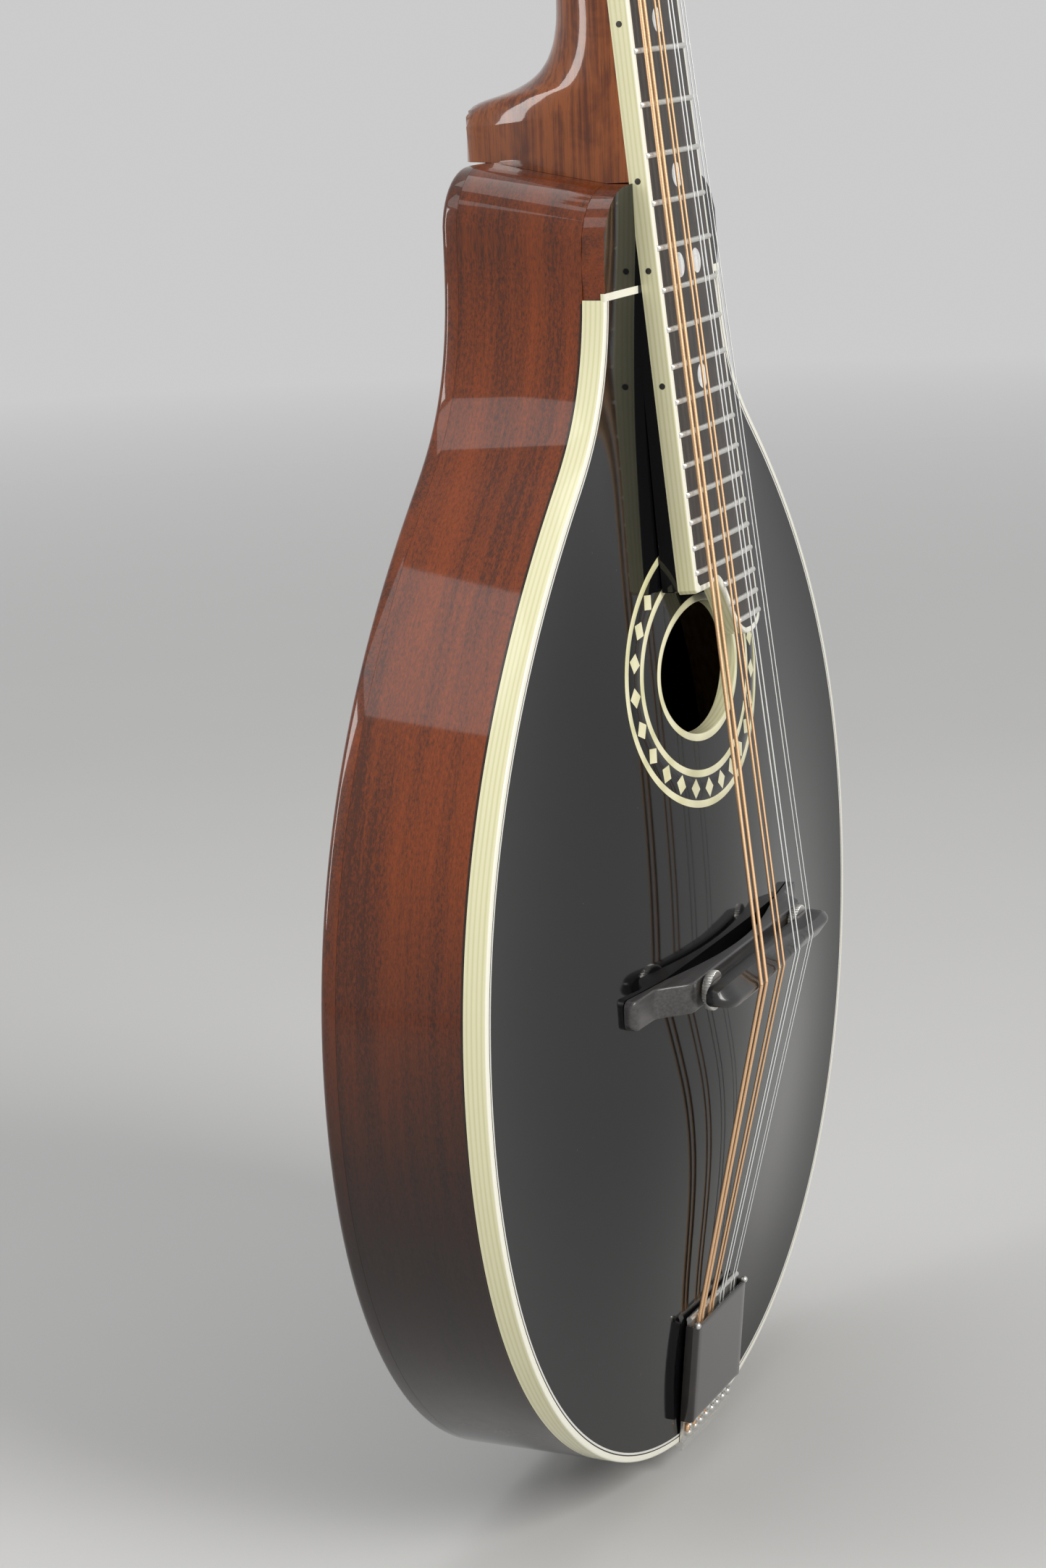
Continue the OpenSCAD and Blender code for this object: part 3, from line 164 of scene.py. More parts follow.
class Layout:
    """Places and sizes of every piece, worked out from the property groups."""

    def __init__(self, scene):
        for group in (scene.mandolin_body, scene.mandolin_neck, scene.mandolin_fittings):
            for key in group.__annotations__:
                value = getattr(group, key)
                is_length = isinstance(value, float) and "tilt" not in key
                setattr(self, key, value * 1000 if is_length else value)
        self.half = self.body_width / 2
        self.pin_y = self.body_depth / 2 + 1
        self.pin_len = 9.5
        self.back_y = self.body_depth - self.back_edge
        self.cross_z = self.body_length - 27
        self.hole_z = self.body_length - 126
        self.draw_outline()
        millimetres = Matrix.Diagonal((0.001, 0.001, 0.001, 1))
        self.place = millimetres @ Matrix.Translation((0, -self.pin_y, self.pin_len))
        self.nut_z = self.body_length + self.nut_above
        self.nut_y = -self.board_lift + self.nut_above * math.tan(self.neck_tilt)
        self.nut_t = 4.4
        at_nut = Matrix.Translation((0, self.nut_y, self.nut_z))
        self.neck_in_body = at_nut @ Matrix.Rotation(-self.neck_tilt, 4, "X")
        at_head = Matrix.Translation((0, self.board_thickness, self.nut_t))
        head = at_head @ Matrix.Rotation(-self.head_tilt, 4, "X")
        self.head_in_body = self.neck_in_body @ head
        self.neck_place = self.place @ self.neck_in_body
        self.head_place = self.place @ self.head_in_body
        self.tail_in_body = Matrix.Rotation(self.cover_tilt, 4, "X")
        self.tail_place = self.place @ self.tail_in_body
        self.slope = (self.board_width - self.nut_width) / 2 / -self.fret_z(24)
        self.crown_rise = self.board_half(-200) ** 2 / 2 / self.board_radius
        self.rosette_in = self.hole_ring + self.hole_gap
        self.rosette_out = self.rosette_in + 2 * self.ring_width + self.band_width
        self.lay_bridge()
        self.lay_head()

    # ---- body outline and arches
    def draw_outline(self):
        w, length_, bout = self.half, self.body_length, 0.396 * self.body_length
        waist = np.array([0.484 * w, 0.791 * length_])
        sx, sr = self.shoulder_width / 2, self.shoulder_round
        arc = [[sx - sr + sr * math.cos(t), length_ - sr + sr * math.sin(t)]
               for t in np.linspace(0, math.pi / 2, 13)[1:]]
        rows = [
            [[0, 0]],
            bezier([0, 0], [0.57 * w, 0], [w, 0.39 * bout], [w, bout], 60),
            bezier([w, bout], [w, 1.48 * bout], waist + [0.226 * w, -0.08 * length_], waist, 48),
            bezier(waist, waist + [-0.085 * w, 0.03 * length_], [sx, length_ - sr - 0.094 * length_],
                   [sx, length_ - sr], 24),
            arc,
            [[(sx - sr) / 2, length_], [0, length_]],
        ]
        right = np.vstack(rows)
        left = right[1:-1][::-1] * [-1, 1]
        self.edge = np.vstack([right, left])
        self.half_rows = right[: -2]
        nxt, prv = np.roll(self.edge, -1, 0), np.roll(self.edge, 1, 0)
        d = nxt - prv
        d /= np.linalg.norm(d, axis=1)[:, None]
        self.inward = np.stack([-d[:, 1], d[:, 0]], 1)
        self.run = np.concatenate([[0], np.cumsum(np.linalg.norm(np.diff(self.edge, axis=0), axis=1))])

    def inset(self, d):
        return self.edge + self.inward * np.reshape(d, (-1, 1))

    def lift(self, y):
        """How far each point of the outline is raised at y, because the body's end leans."""
        share = np.clip((y - self.front_edge) / (self.back_y - self.front_edge), 0, 1)
        return np.where(self.edge[:, 1] > self.body_length - self.shoulder_round + 0.01,
                        self.shoulder_rise * share, 0)

    def side_loop(self, d, y):
        points = self.inset(d)
        return [(x, y, z + up) for (x, z), up in zip(points, self.lift(y))]

    def half_at(self, z):
        return np.maximum(1, np.interp(z, self.half_rows[:, 1], self.half_rows[:, 0]))

    def arch(self, x, z, height=None):
        height = self.front_arch if height is None else height
        crest, reach, ridge = 0.325 * self.body_length, 0.516 * self.body_length, 0.35
        z = np.asarray(z, float)
        low = bell((crest - z) / crest)
        fall = 1 - ((z - crest) / (self.body_length - crest)) ** 3
        high = (1 - ridge) * bell((z - crest) / reach) + ridge * fall
        return height * np.maximum(0, np.where(z < crest, low, high)) * bell(x / self.half_at(z))

    def oval(self, d, count=144):
        t = np.linspace(0, 2 * np.pi, count, endpoint=False)
        return np.stack([(self.hole_half_width + d) * np.sin(t),
                         self.hole_z + (self.hole_half_height + d) * np.cos(t)], 1)

    def on_front(self, xz, above=0.0):
        """Points of the front's surface, raised by above."""
        xz = np.asarray(xz, float)
        return np.stack([xz[:, 0], -self.arch(xz[:, 0], xz[:, 1]) - above, xz[:, 1]], 1)

    # ---- neck
    def fret_z(self, n):
        return -(self.scale_length - self.scale_length / 2 ** (n / 12))

    def board_half(self, z):
        return self.nut_width / 2 - z * self.slope

    def crown_y(self, x):
        return x * x / 2 / self.board_radius - self.crown_rise

    def board_plan(self, d):
        end, ext = self.fret_z(21) - 5.2, self.fret_z(self.fret_count) - 4.8
        bass, treble = self.board_half(end) - d, self.board_half(ext) - d
        arc = [[treble - 11 + 11 * math.cos(math.radians(-10 * i)),
                ext + d + 4 + 4 * math.sin(math.radians(-11.25 * i))]
               for i in range(9)]
        throat = bezier([arc[8][0], ext + d], [-1 + d / 2, ext + d], [0, end + d + 1],
                        [-9 + d / 2, end + d + 1], 14)
        return np.array([[-self.nut_width / 2 + d, 0], [-bass, end + d + 1], [-bass + 1, end + d],
                         [-11, end + d]]
                        + throat[::-1].tolist() + arc[7::-1] + [[self.nut_width / 2 - d, 0]])

    def neck_rows(self):
        heel = -(self.nut_above - self.heel_length) / math.cos(self.neck_tilt) + 1
        return np.array([
            [-self.nut_above / math.cos(self.neck_tilt) - 12, 60, 0.95], [heel, 60, 0.95],
            [heel + 4.4, 54, 0.95],
            [heel + 6, 48.6, 0.94], [heel + 7, 42.6, 0.93], [heel + 8.6, 36.8, 0.92], [heel + 10.4, 33, 0.9],
            [heel + 12.8, 30, 0.88], [heel + 16, 27.6, 0.87], [heel + 21, 25.5, 0.86], [heel + 29, 24, 0.85],
            [heel / 2, 22.25, 0.85], [-18, 20.5, 0.85], [-6, 21.1, 0.88], [3, 22.7, 0.92],
            [self.nut_t + 8, 22.1, 1.0]])

    # ---- strings
    string_radius = (0.5, 0.34, 0.21, 0.15)
    course = (-1, -1 / 3, 1 / 3, 1)

    def nut_point(self, c, s, z):
        x = self.course[c] * (self.nut_width - 6.2) / 2 + s * 1.05
        y = self.crown_y(x) - self.fret_height - 0.35 - self.string_radius[c]
        return self.neck_in_body @ Vector((x, y, z))

    def saddle_point(self, c, s):
        x = self.course[c] * 18.6 + s * 1.6
        y = -3.9 - 37.2**2 / 8 / self.board_radius + x * x / 2 / self.board_radius
        z = -self.scale_length - (3.6, 2.6, 1.9, 1.1)[c]
        return self.neck_in_body @ Vector((x, y, z))

    def lay_bridge(self):
        middle = (self.saddle_point(1, 1) + self.saddle_point(2, -1)) / 2
        self.bridge_z = middle.z
        self.base_top = -float(self.arch(self.post_gap / 2, self.bridge_z)) - 7.2
        self.wheel_y = self.base_top - 0.8
        self.saddle_y = self.wheel_y - 2.3 - 0.15

    # ---- head
    def lay_head(self):
        w, h = self.head_width / 2, self.head_length
        n = self.nut_width / 2 + 1
        rows = [[[0, 0.01], [n, 0.01]], bezier([n, 2], [n + 2, 16], [w * 0.62, 16], [w * 0.86, 22], 10),
                bezier([w * 0.86, 22], [w * 0.95, 24], [w * 0.9, 40], [w * 0.92, 62], 10),
                bezier([w * 0.92, 62], [w * 0.95, 92], [w, 110], [w, h - 14], 8),
                bezier([w, h - 14], [w, h - 4], [w * 0.75, h - 9], [w * 0.45, h - 4], 12),
                bezier([w * 0.45, h - 4], [w * 0.3, h - 1.5], [w * 0.15, h], [0, h], 8)]
        right = np.vstack(rows)
        self.head_edge = np.vstack([right, right[1:-1][::-1] * [-1, 1]])
        self.gear_y = self.veneer + self.head_thickness + 1.2 + 1.5

    def post_side(self, n):
        return -1 if n < 5 else 1

    def post_z(self, n):
        return 34 + ((n - 1) % 4) * 23


# ---------------------------------------------------------------- shader expressions


class Number:
    """A shader value. Sums and products of it add Math nodes."""

    def __init__(self, finish, socket):
        self.finish, self.socket = finish, socket

    def _math(self, operation, *values):
        return self.finish.node("ShaderNodeMath", {"operation": operation}, *values)

    def __add__(self, other):
        return self._math("ADD", self, other)

    def __sub__(self, other):
        return self._math("SUBTRACT", self, other)

    def __rsub__(self, other):
        return self._math("SUBTRACT", other, self)

    def __mul__(self, other):
        return self._math("MULTIPLY", self, other)

    def __truediv__(self, other):
        return self._math("DIVIDE", self, other)

    def __pow__(self, other):
        return self._math("POWER", self, other)

    def __gt__(self, other):
        return self._math("GREATER_THAN", self, other)

    def __lt__(self, other):
        return self._math("LESS_THAN", self, other)

    __radd__, __rmul__ = __add__, __mul__

    def clamp(self, low=0.0, high=1.0):
        return self.finish.node("ShaderNodeClamp", {}, self, low, high)

    def sine(self):
        return self._math("SINE", self)


FINISHES = {}
BOARD_AT_STRIP = -178  # how far below the nut the fingerboard crosses the cream strip, in millimetres
BOARD_AT_ROSETTE = -240  # and where it covers the rosette
SEAM_Y = -16.75  # the dark seam between rim and binding, in millimetres
SEAM_TOP = 321


class Finish:
    """A material that is written as expressions on its surface's sockets."""

    def __init__(self, name, **fixed):
        self.material = bpy.data.materials.new(name + "_finish")
        FINISHES[name] = self.material
        self.material.use_nodes = True
        self.tree = self.material.node_tree
        self.tree.nodes.clear()
        out = self.tree.nodes.new("ShaderNodeOutputMaterial")
        self.surface = self.tree.nodes.new("ShaderNodeBsdfPrincipled")
        self.tree.links.new(self.surface.outputs[0], out.inputs[0])
        self.set(**fixed)

    def set(self, **sockets):
        for key, value in sockets.items():
            self._feed(self.surface.inputs[key.replace("_", " ")], value)
        return self

    def _feed(self, socket, value):
        if isinstance(value, Number):
            self.tree.links.new(value.socket, socket)
        elif socket.type == "RGBA" and len(value) == 3:
            socket.default_value = (*value, 1)
        else:
            socket.default_value = value

    def node(self, kind, settings, *values, out=0, **named):
        made = self.tree.nodes.new(kind)
        for key, value in settings.items():
            if key == "stops":
                ramp = made.color_ramp
                while len(ramp.elements) < len(value):
                    ramp.elements.new(0.5)
                for element, (at, rgb) in zip(ramp.elements, value):
                    element.position = at
                    element.color = (*rgb, 1)
            else:
                setattr(made, key, value)
        for socket, value in zip(made.inputs, values):
            if value is not None:
                self._feed(socket, value)
        for key, value in named.items():
            self._feed(made.inputs[key.replace("_", " ")], value)
        return Number(self, made.outputs[out])

    def spot(self):
        """The point on the piece, in millimetres."""
        where = self.node("ShaderNodeTexCoord", {}, out=3)
        return self.node("ShaderNodeMapping", {}, Vector=where, Scale=(1000, 1000, 1000))

    def grain(self):
        """The piece's own run of the grain, in millimetres."""
        return self.node("ShaderNodeAttribute", {"attribute_name": "grain"}, out=1)

    def stretch(self, where, scale, turn=(0, 0, 0)):
        return self.node("ShaderNodeMapping", {}, Vector=where, Scale=scale, Rotation=turn)

    def noise(self, where, scale, detail=3.0, rough=0.55, distort=0.0):
        return self.node("ShaderNodeTexNoise", {}, Vector=where, Scale=scale, Detail=detail, Roughness=rough,
                         Distortion=distort)

    def part(self, where, axis):
        return self.node("ShaderNodeSeparateXYZ", {}, where, out="XYZ".index(axis))

    def ramp(self, share, *stops):
        return self.node("ShaderNodeValToRGB", {"stops": stops}, share)

    def blend(self, share, a, b, how="MIX"):
        made = self.tree.nodes.new("ShaderNodeMix")
        made.data_type, made.blend_type, made.clamp_factor = "RGBA", how, True
        self._feed(made.inputs[0], share)
        self._feed(made.inputs[6], a)
        self._feed(made.inputs[7], b)
        return Number(self, made.outputs[2])

    def bump(self, height, strength, distance=0.0002):
        return self.node("ShaderNodeBump", {}, Height=height, Strength=strength, Distance=distance)


def black_lacquer(c):
    f = Finish("black_lacquer", IOR=1.46)
    spot = f.spot()
    haze = f.noise(spot, 0.06, 2)
    dust = f.noise(spot, 0.9, 1, 0.4)
    speck = (dust > 0.815) * (f.noise(spot, 0.11, 1) > 0.52)
    fine = f.noise(spot, 6.0, 2)
    f.set(Base_Color=f.blend(speck * 0.35, c.lacquer, (0.11, 0.12, 0.13)),
          Roughness=haze * 0.05 + 0.035 + speck * 0.3,
          Normal=f.bump(fine, 0.012, 0.00005))
    return f.material


def body_wood(c):
    """Stained mahogany under gloss lacquer: streaks along the grain, pores, and a dark burst towards the
    tail that is partly the real stain and partly painted shade on the underside.
    """
    f = Finish("body_wood", Coat_Weight=1.0, Coat_Roughness=0.045, Coat_IOR=1.45, Specular_IOR_Level=0.12)
    grain = f.grain()
    wide = f.noise(f.stretch(grain, (0.008, 0.09, 0.09)), 1.0, 2, 0.5)
    streak = f.noise(f.stretch(grain, (0.012, 0.5, 0.5)), 1.0, 4, 0.6, 0.25)
    fibre = f.noise(f.stretch(grain, (0.30, 4.5, 4.5)), 1.0, 3, 0.6)
    fleck = f.noise(f.stretch(grain, (0.8, 3.4, 3.4)), 1.0, 2, 0.6)
    curl = f.noise(f.stretch(grain, (0.75, 1.6, 1.6)), 1.0, 4, 0.65, 0.6)
    tone = ((wide - 0.5) * 1.9 + (streak - 0.5) * 1.2 + (fibre - 0.5) * 1.2 + (curl - 0.5) * 2.2
            + 0.5).clamp()
    light = tuple(min(1, v * 1.45) for v in c.wood_light)
    wood = f.ramp(tone, (0.0, c.wood_dark), (0.5, c.wood_light), (1.0, light))
    wood = f.blend(((0.46 - fleck) * 5.0).clamp() * 0.6, wood, (0.040, 0.010, 0.0024))
    spot = f.spot()
    z, y = f.part(spot, "Z"), f.part(spot, "Y")
    # The wood darkens towards the tail. This is partly the real sunburst stain and partly painted shade,
    # where the body curves under away from the light.
    rise_from_tail = ((z - 9.5) / 190).clamp()
    burst_and_shade_stops = ((0.0, 0.03), (0.39, 0.055), (0.48, 0.09), (0.6, 0.2), (0.72, 0.42), (0.83, 0.68), (1.0, 1.0))
    burst_and_painted_shade = f.ramp(rise_from_tail, *((at, (shade, shade, shade)) for at, shade in burst_and_shade_stops))
    wood = f.blend(1.0, wood, burst_and_painted_shade, "MULTIPLY")
    shoulder = ((z - 318) / 30).clamp() * 0.3
    edge = ((y - 14) / 7).clamp() * 0.42
    off_seam = y - SEAM_Y
    seam = (off_seam * off_seam < 0.1) * (z < SEAM_TOP)
    wood = f.blend((shoulder + edge * 0.6 + seam).clamp(), wood, (0.022, 0.007, 0.003))
    f.set(Base_Color=wood, Roughness=f.noise(spot, 0.2, 2) * 0.1 + 0.3, Normal=f.bump(fleck, 0.02, 0.00006))
    return f.material


def neck_wood(c):
    f = Finish("neck_wood", Coat_Weight=1.0, Coat_Roughness=0.05, Coat_IOR=1.45, Specular_IOR_Level=0.12)
    spot = f.spot()
    along = f.stretch(spot, (0.75, 0.75, 0.011), (0.1, 0, 0))
    streak = f.noise(along, 1.0, 4, 0.6, 0.2)
    pores = f.noise(f.stretch(spot, (3.0, 3.0, 0.10), (0.1, 0, 0)), 1.0, 2)
    cloud = f.noise(spot, 0.09, 3, 0.6, 0.5)
    tone = ((streak - 0.5) * 2.2 + (cloud - 0.5) * 1.6 + 0.5).clamp()
    wood = f.ramp(tone, (0.15, c.neck_dark), (0.7, c.neck_light))
    wood = f.blend((0.45 - pores).clamp() * 3.0, wood, (0.07, 0.02, 0.006))
    f.set(Base_Color=wood, Roughness=f.noise(spot, 0.15, 2) * 0.12 + 0.25,
          Normal=f.bump(pores, 0.03, 0.00008))
    return f.material


def ivoroid(c, name, front, tilt=0.0):
    """Grained celluloid. Its lines run along the piece, and its narrow front face carries a painted
    highlight in pale cream.
    """
    f = Finish(name, Coat_Weight=0.6, Coat_Roughness=0.05)
    spot = f.spot()
    flat = f.stretch(spot, (1, 1, 1), (tilt, 0, 0)) if tilt else spot
    wander = f.noise(f.stretch(spot, (0.02, 0.3, 0.02)), 1.0, 2)
    y = f.part(flat, "Y") + wander * 0.7
    line = ((y * 4.9).sine() * 0.5 + 0.5) ** 2.2
    cloud = f.noise(spot, 0.05, 2)
    body = f.blend(line * 0.75, c.ivoroid, c.ivoroid_line)
    body = f.blend(cloud * 0.25, body, (0.86, 0.82, 0.58))
    # Painted highlight: the front face, at the level given by front, is blended to a pale cream as if it
    # caught the light.
    face = ((front + 0.35 - f.part(flat, "Y")) * 6).clamp()
    body = f.blend(face * 0.85, body, (0.93, 0.92, 0.82))
    f.set(Base_Color=body, Roughness=0.26)
    return f.material


def ebony(c, name, tint=1.0, rough=0.32):
    f = Finish(name)
    spot = f.spot()
    streak = f.noise(f.stretch(spot, (1.2, 1.2, 0.05)), 1.0, 4, 0.6)
    pores = f.noise(f.stretch(spot, (4.0, 4.0, 0.25)), 1.0, 2)
    dark = tuple(v * 0.55 * tint for v in c.board)
    light = tuple(v * 1.7 * tint for v in c.board)
    wood = f.ramp(streak, (0.3, dark), (0.75, light))
    f.set(Base_Color=wood, Roughness=streak * 0.14 + rough, Normal=f.bump(pores, 0.12, 0.0001))
    return f.material


def bridge_ebony(name, shade, gloss):
    """Ebony with its fibre along the bridge. More gloss means a clearer polish."""
    f = Finish(name, Coat_Weight=0.5, Coat_Roughness=0.32 - gloss * 0.24)
    spot = f.spot()
    fibre = f.noise(f.stretch(spot, (0.06, 1.6, 1.6)), 1.0, 4, 0.6)
    low = tuple(v * shade for v in (0.018, 0.017, 0.017))
    high = tuple(v * shade for v in (0.062, 0.058, 0.058))
    f.set(Base_Color=f.ramp(fibre, (0.3, low), (0.8, high)),
          Roughness=fibre * 0.16 + 0.26, Normal=f.bump(fibre, 0.10, 0.0001))
    return f.material


def plated(name, rgb, rough=0.24):
    f = Finish(name, Metallic=0.85)
    spot = f.spot()
    haze = f.noise(spot, 0.35, 3)
    dull = f.noise(spot, 2.2, 2)
    f.set(Base_Color=f.blend(haze * 0.5, rgb, tuple(v * 0.72 for v in rgb)), Roughness=dull * 0.12 + rough)
    return f.material


def wound_wire(c):
    f = Finish("bronze_wire", Metallic=0.55)
    along = f.part(f.grain(), "X")
    ridge = (along * 17.0).sine() * 0.5 + 0.5
    worn = f.noise(f.spot(), 0.12, 2)
    tone = f.blend(worn * 0.5, c.bronze, (0.90, 0.54, 0.30))
    f.set(Base_Color=f.blend((1 - ridge) * 0.3, tone, (0.32, 0.15, 0.07)), Roughness=0.36,
          Normal=f.bump(ridge, 0.5, 0.00008))
    return f.material


def plain_wire():
    f = Finish("steel_wire", Metallic=0.5)
    worn = f.noise(f.spot(), 0.15, 2)
    f.set(Base_Color=f.blend(worn * 0.5, (0.93, 0.94, 0.93), (0.80, 0.81, 0.79)),
          Roughness=worn * 0.1 + 0.33)
    return f.material


def tortoise():
    f = Finish("tortoise", Coat_Weight=1.0, Coat_Roughness=0.05)
    spot = f.spot()
    cloud = f.noise(spot, 0.16, 3, 0.6, 0.8)
    f.set(Base_Color=f.ramp(cloud, (0.42, (0.0055, 0.0045, 0.004)), (0.76, (0.017, 0.010, 0.007))),
          Roughness=0.16)
    return f.material


def pearl():
    f = Finish("pearl", Coat_Weight=1.0, Coat_Roughness=0.05)
    spot = f.spot()
    sheet = f.noise(spot, 0.32, 3, 0.6, 1.6)
    tint = f.ramp(sheet, (0.3, (0.62, 0.70, 0.72)), (0.5, (0.85, 0.86, 0.83)), (0.7, (0.74, 0.68, 0.72)))
    f.set(Base_Color=tint, Roughness=sheet * 0.15 + 0.15)
    return f.material


def bone():
    f = Finish("bone", Coat_Weight=0.3, Coat_Roughness=0.15)
    spot = f.spot()
    fibre = f.noise(f.stretch(spot, (0.08, 1.5, 1.5)), 1.0, 3)
    f.set(Base_Color=f.ramp(fibre, (0.3, (0.66, 0.58, 0.40)), (0.7, (0.82, 0.77, 0.62))),
          Roughness=fibre * 0.1 + 0.3)
    return f.material


def inside_wood():
    f = Finish("inner_wood")
    spot = f.spot()
    streak = f.noise(f.stretch(spot, (0.6, 0.6, 0.02)), 1.0, 4)
    f.set(Base_Color=f.ramp(streak, (0.3, (0.42, 0.26, 0.12)), (0.7, (0.62, 0.44, 0.25))),
          Roughness=streak * 0.2 + 0.5)
    return f.material


def button_cream():
    f = Finish("button_plastic", Coat_Weight=0.6, Coat_Roughness=0.06)
    spot = f.spot()
    cloud = f.noise(spot, 0.15, 3, 0.5, 0.7)
    f.set(Base_Color=f.ramp(cloud, (0.3, (0.68, 0.61, 0.42)), (0.7, (0.80, 0.76, 0.60))),
          Roughness=cloud * 0.08 + 0.22)
    return f.material


def line_white():
    f = Finish("line_white", Coat_Weight=0.5, Coat_Roughness=0.05)
    cloud = f.noise(f.spot(), 0.2, 2)
    f.set(Base_Color=f.blend(cloud, (0.80, 0.79, 0.74), (0.70, 0.69, 0.62)), Roughness=0.25)
    return f.material


def make_finishes(scene):
    c = scene.mandolin_colours
    tilt = scene.mandolin_neck.neck_tilt
    black_lacquer(c)
    body_wood(c)
    neck_wood(c)
    lay = Layout(scene)
    # body_front and board_face give the level of each binding's front face, where ivoroid paints its
    # highlight. The rosette's -1000 leaves it without that painted highlight.
    body_front = (lay.place @ Vector((0, 0, 0))).y * 1000
    board_face = Matrix.Rotation(tilt, 4, "X") @ (lay.neck_place @ Vector((0, 0, 0)) * 1000)
    ivoroid(c, "ivoroid", body_front)
    ivoroid(c, "ivoroid_board", board_face.y, tilt)
    ivoroid(c, "ivoroid_rosette", -1000)
    ebony(c, "ebony")
    bridge_ebony("bridge_ebony", 1.25, 0.0)
    bridge_ebony("polished_ebony", 0.3, 1.0)
    plated("nickel", tuple(c.metal))
    plated("fret_metal", (0.88, 0.87, 0.82), 0.26)
    plated("brass", (0.66, 0.46, 0.18), 0.24)
    plated("steel", (0.5, 0.5, 0.5), 0.3)
    wound_wire(c)
    plain_wire()
    tortoise()
    pearl()
    bone()
    inside_wood()
    button_cream()
    line_white()


def dress(node, name):
    """Gives a frame node that stays visible one of the finishes."""
    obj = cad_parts[node]
    obj.data.materials.clear()
    obj.data.materials.append(FINISHES[name])


# ---------------------------------------------------------------- modelling helpers


def loft(loops, closed=True, caps=(False, False), runs=None):
    """Starts a ring of edges at the first loop and extrudes it through the others."""
    bm = bmesh.new()
    order = bm.verts.layers.int.new("order")
    grain = bm.verts.layers.float_vector.new("grain")
    count = len(loops[0])
    bmesh.ops.create_circle(bm, segments=count, radius=1)
    bm.verts.ensure_lookup_table()
    for k, vert in enumerate(bm.verts):
        vert[order] = k
    if not closed:
        last, start = bm.verts[count - 1], bm.verts[0]
        bm.edges.remove(next(e for e in last.link_edges if e.other_vert(last) == start))
    rings = []
    edges = list(bm.edges)
    for row, loop in enumerate(loops):
        if row:
            made = bmesh.ops.extrude_edge_only(bm, edges=edges)["geom"]
            verts = [g for g in made if isinstance(g, bmesh.types.BMVert)]
            fresh = set(verts)
            edges = [g for g in made if isinstance(g, bmesh.types.BMEdge) and g.verts[0] in fresh
                     and g.verts[1] in fresh]
        else:
            verts = list(bm.verts)
        for vert in verts:
            vert.co = loop[vert[order]]
            if runs is not None:
                vert[grain] = runs[row][vert[order]]
        rings.append(edges)
    for wanted, ring in zip(caps, (rings[0], rings[-1])):
        if wanted:
            bmesh.ops.contextual_create(bm, geom=ring)
    return bm


def slab(outline, y0, y1):
    """A flat outline in X and Z, pulled out from y0 to y1."""
    bm = bmesh.new()
    verts = [bm.verts.new((x, y0, z)) for x, z in outline]
    face = bm.faces.new(verts)
    made = bmesh.ops.extrude_face_region(bm, geom=[face])["geom"]
    bmesh.ops.translate(bm, verts=[g for g in made if isinstance(g, bmesh.types.BMVert)],
                        vec=(0, y1 - y0, 0))
    return bm


def soften(bm, width, segments=2, angle_over=40, keep=None):
    """Bevels the edges that are sharper than an angle."""
    bm.normal_update()
    limit = math.radians(angle_over)
    edges = [e for e in bm.edges if len(e.link_faces) == 2 and e.calc_face_angle(0) > limit
             and (keep is None or keep(e))]
    bmesh.ops.bevel(bm, geom=edges, offset=width, offset_type="OFFSET", segments=segments, profile=0.5,
                    affect="EDGES", material=-1, clamp_overlap=True)
    return bm


def publish(bm, name, finish, body, nodes, place, sharp=38, outwards=True):
    """Turns a finished bmesh into a piece that rides on a body and stands for its nodes."""
    bmesh.ops.transform(bm, matrix=place, verts=bm.verts)
    if outwards:
        bmesh.ops.recalc_face_normals(bm, faces=bm.faces)
    mesh = bpy.data.meshes.new(name)
    bm.to_mesh(mesh)
    bm.free()
    mesh.polygons.foreach_set("use_smooth", [True] * len(mesh.polygons))
    mesh.set_sharp_from_angle(angle=math.radians(sharp))
    for f in finish if isinstance(finish, (list, tuple)) else [finish]:
        mesh.materials.append(FINISHES[f])
    piece = bpy.data.objects.new(name, mesh)
    bpy.context.scene.collection.objects.link(piece)
    if body:
        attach(piece, body)
    if nodes:
        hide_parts(*nodes)
    return piece


def join(bms):
    """Puts several bmeshes into the first."""
    whole = bms[0]
    for part in bms[1:]:
        mesh = bpy.data.meshes.new("part")
        part.to_mesh(mesh)
        part.free()
        whole.from_mesh(mesh)
        bpy.data.meshes.remove(mesh)
    return whole


def turned(profile, count=48):
    """Spins a profile of (radius, y) points about the Y axis."""
    bm = bmesh.new()
    verts = [bm.verts.new((max(r, 0.0), y, 0)) for r, y in profile]
    edges = [bm.edges.new(pair) for pair in zip(verts, verts[1:])]
    bmesh.ops.spin(bm, geom=verts + edges, cent=(0, 0, 0), axis=(0, 1, 0), angle=math.tau, steps=count,
                   use_merge=True, use_duplicate=False)
    bmesh.ops.remove_doubles(bm, verts=bm.verts, dist=1e-4)
    bmesh.ops.recalc_face_normals(bm, faces=bm.faces)
    return bm


def moved(bm, matrix):
    bmesh.ops.transform(bm, matrix=matrix, verts=bm.verts)
    return bm


# ---------------------------------------------------------------- pieces of the body


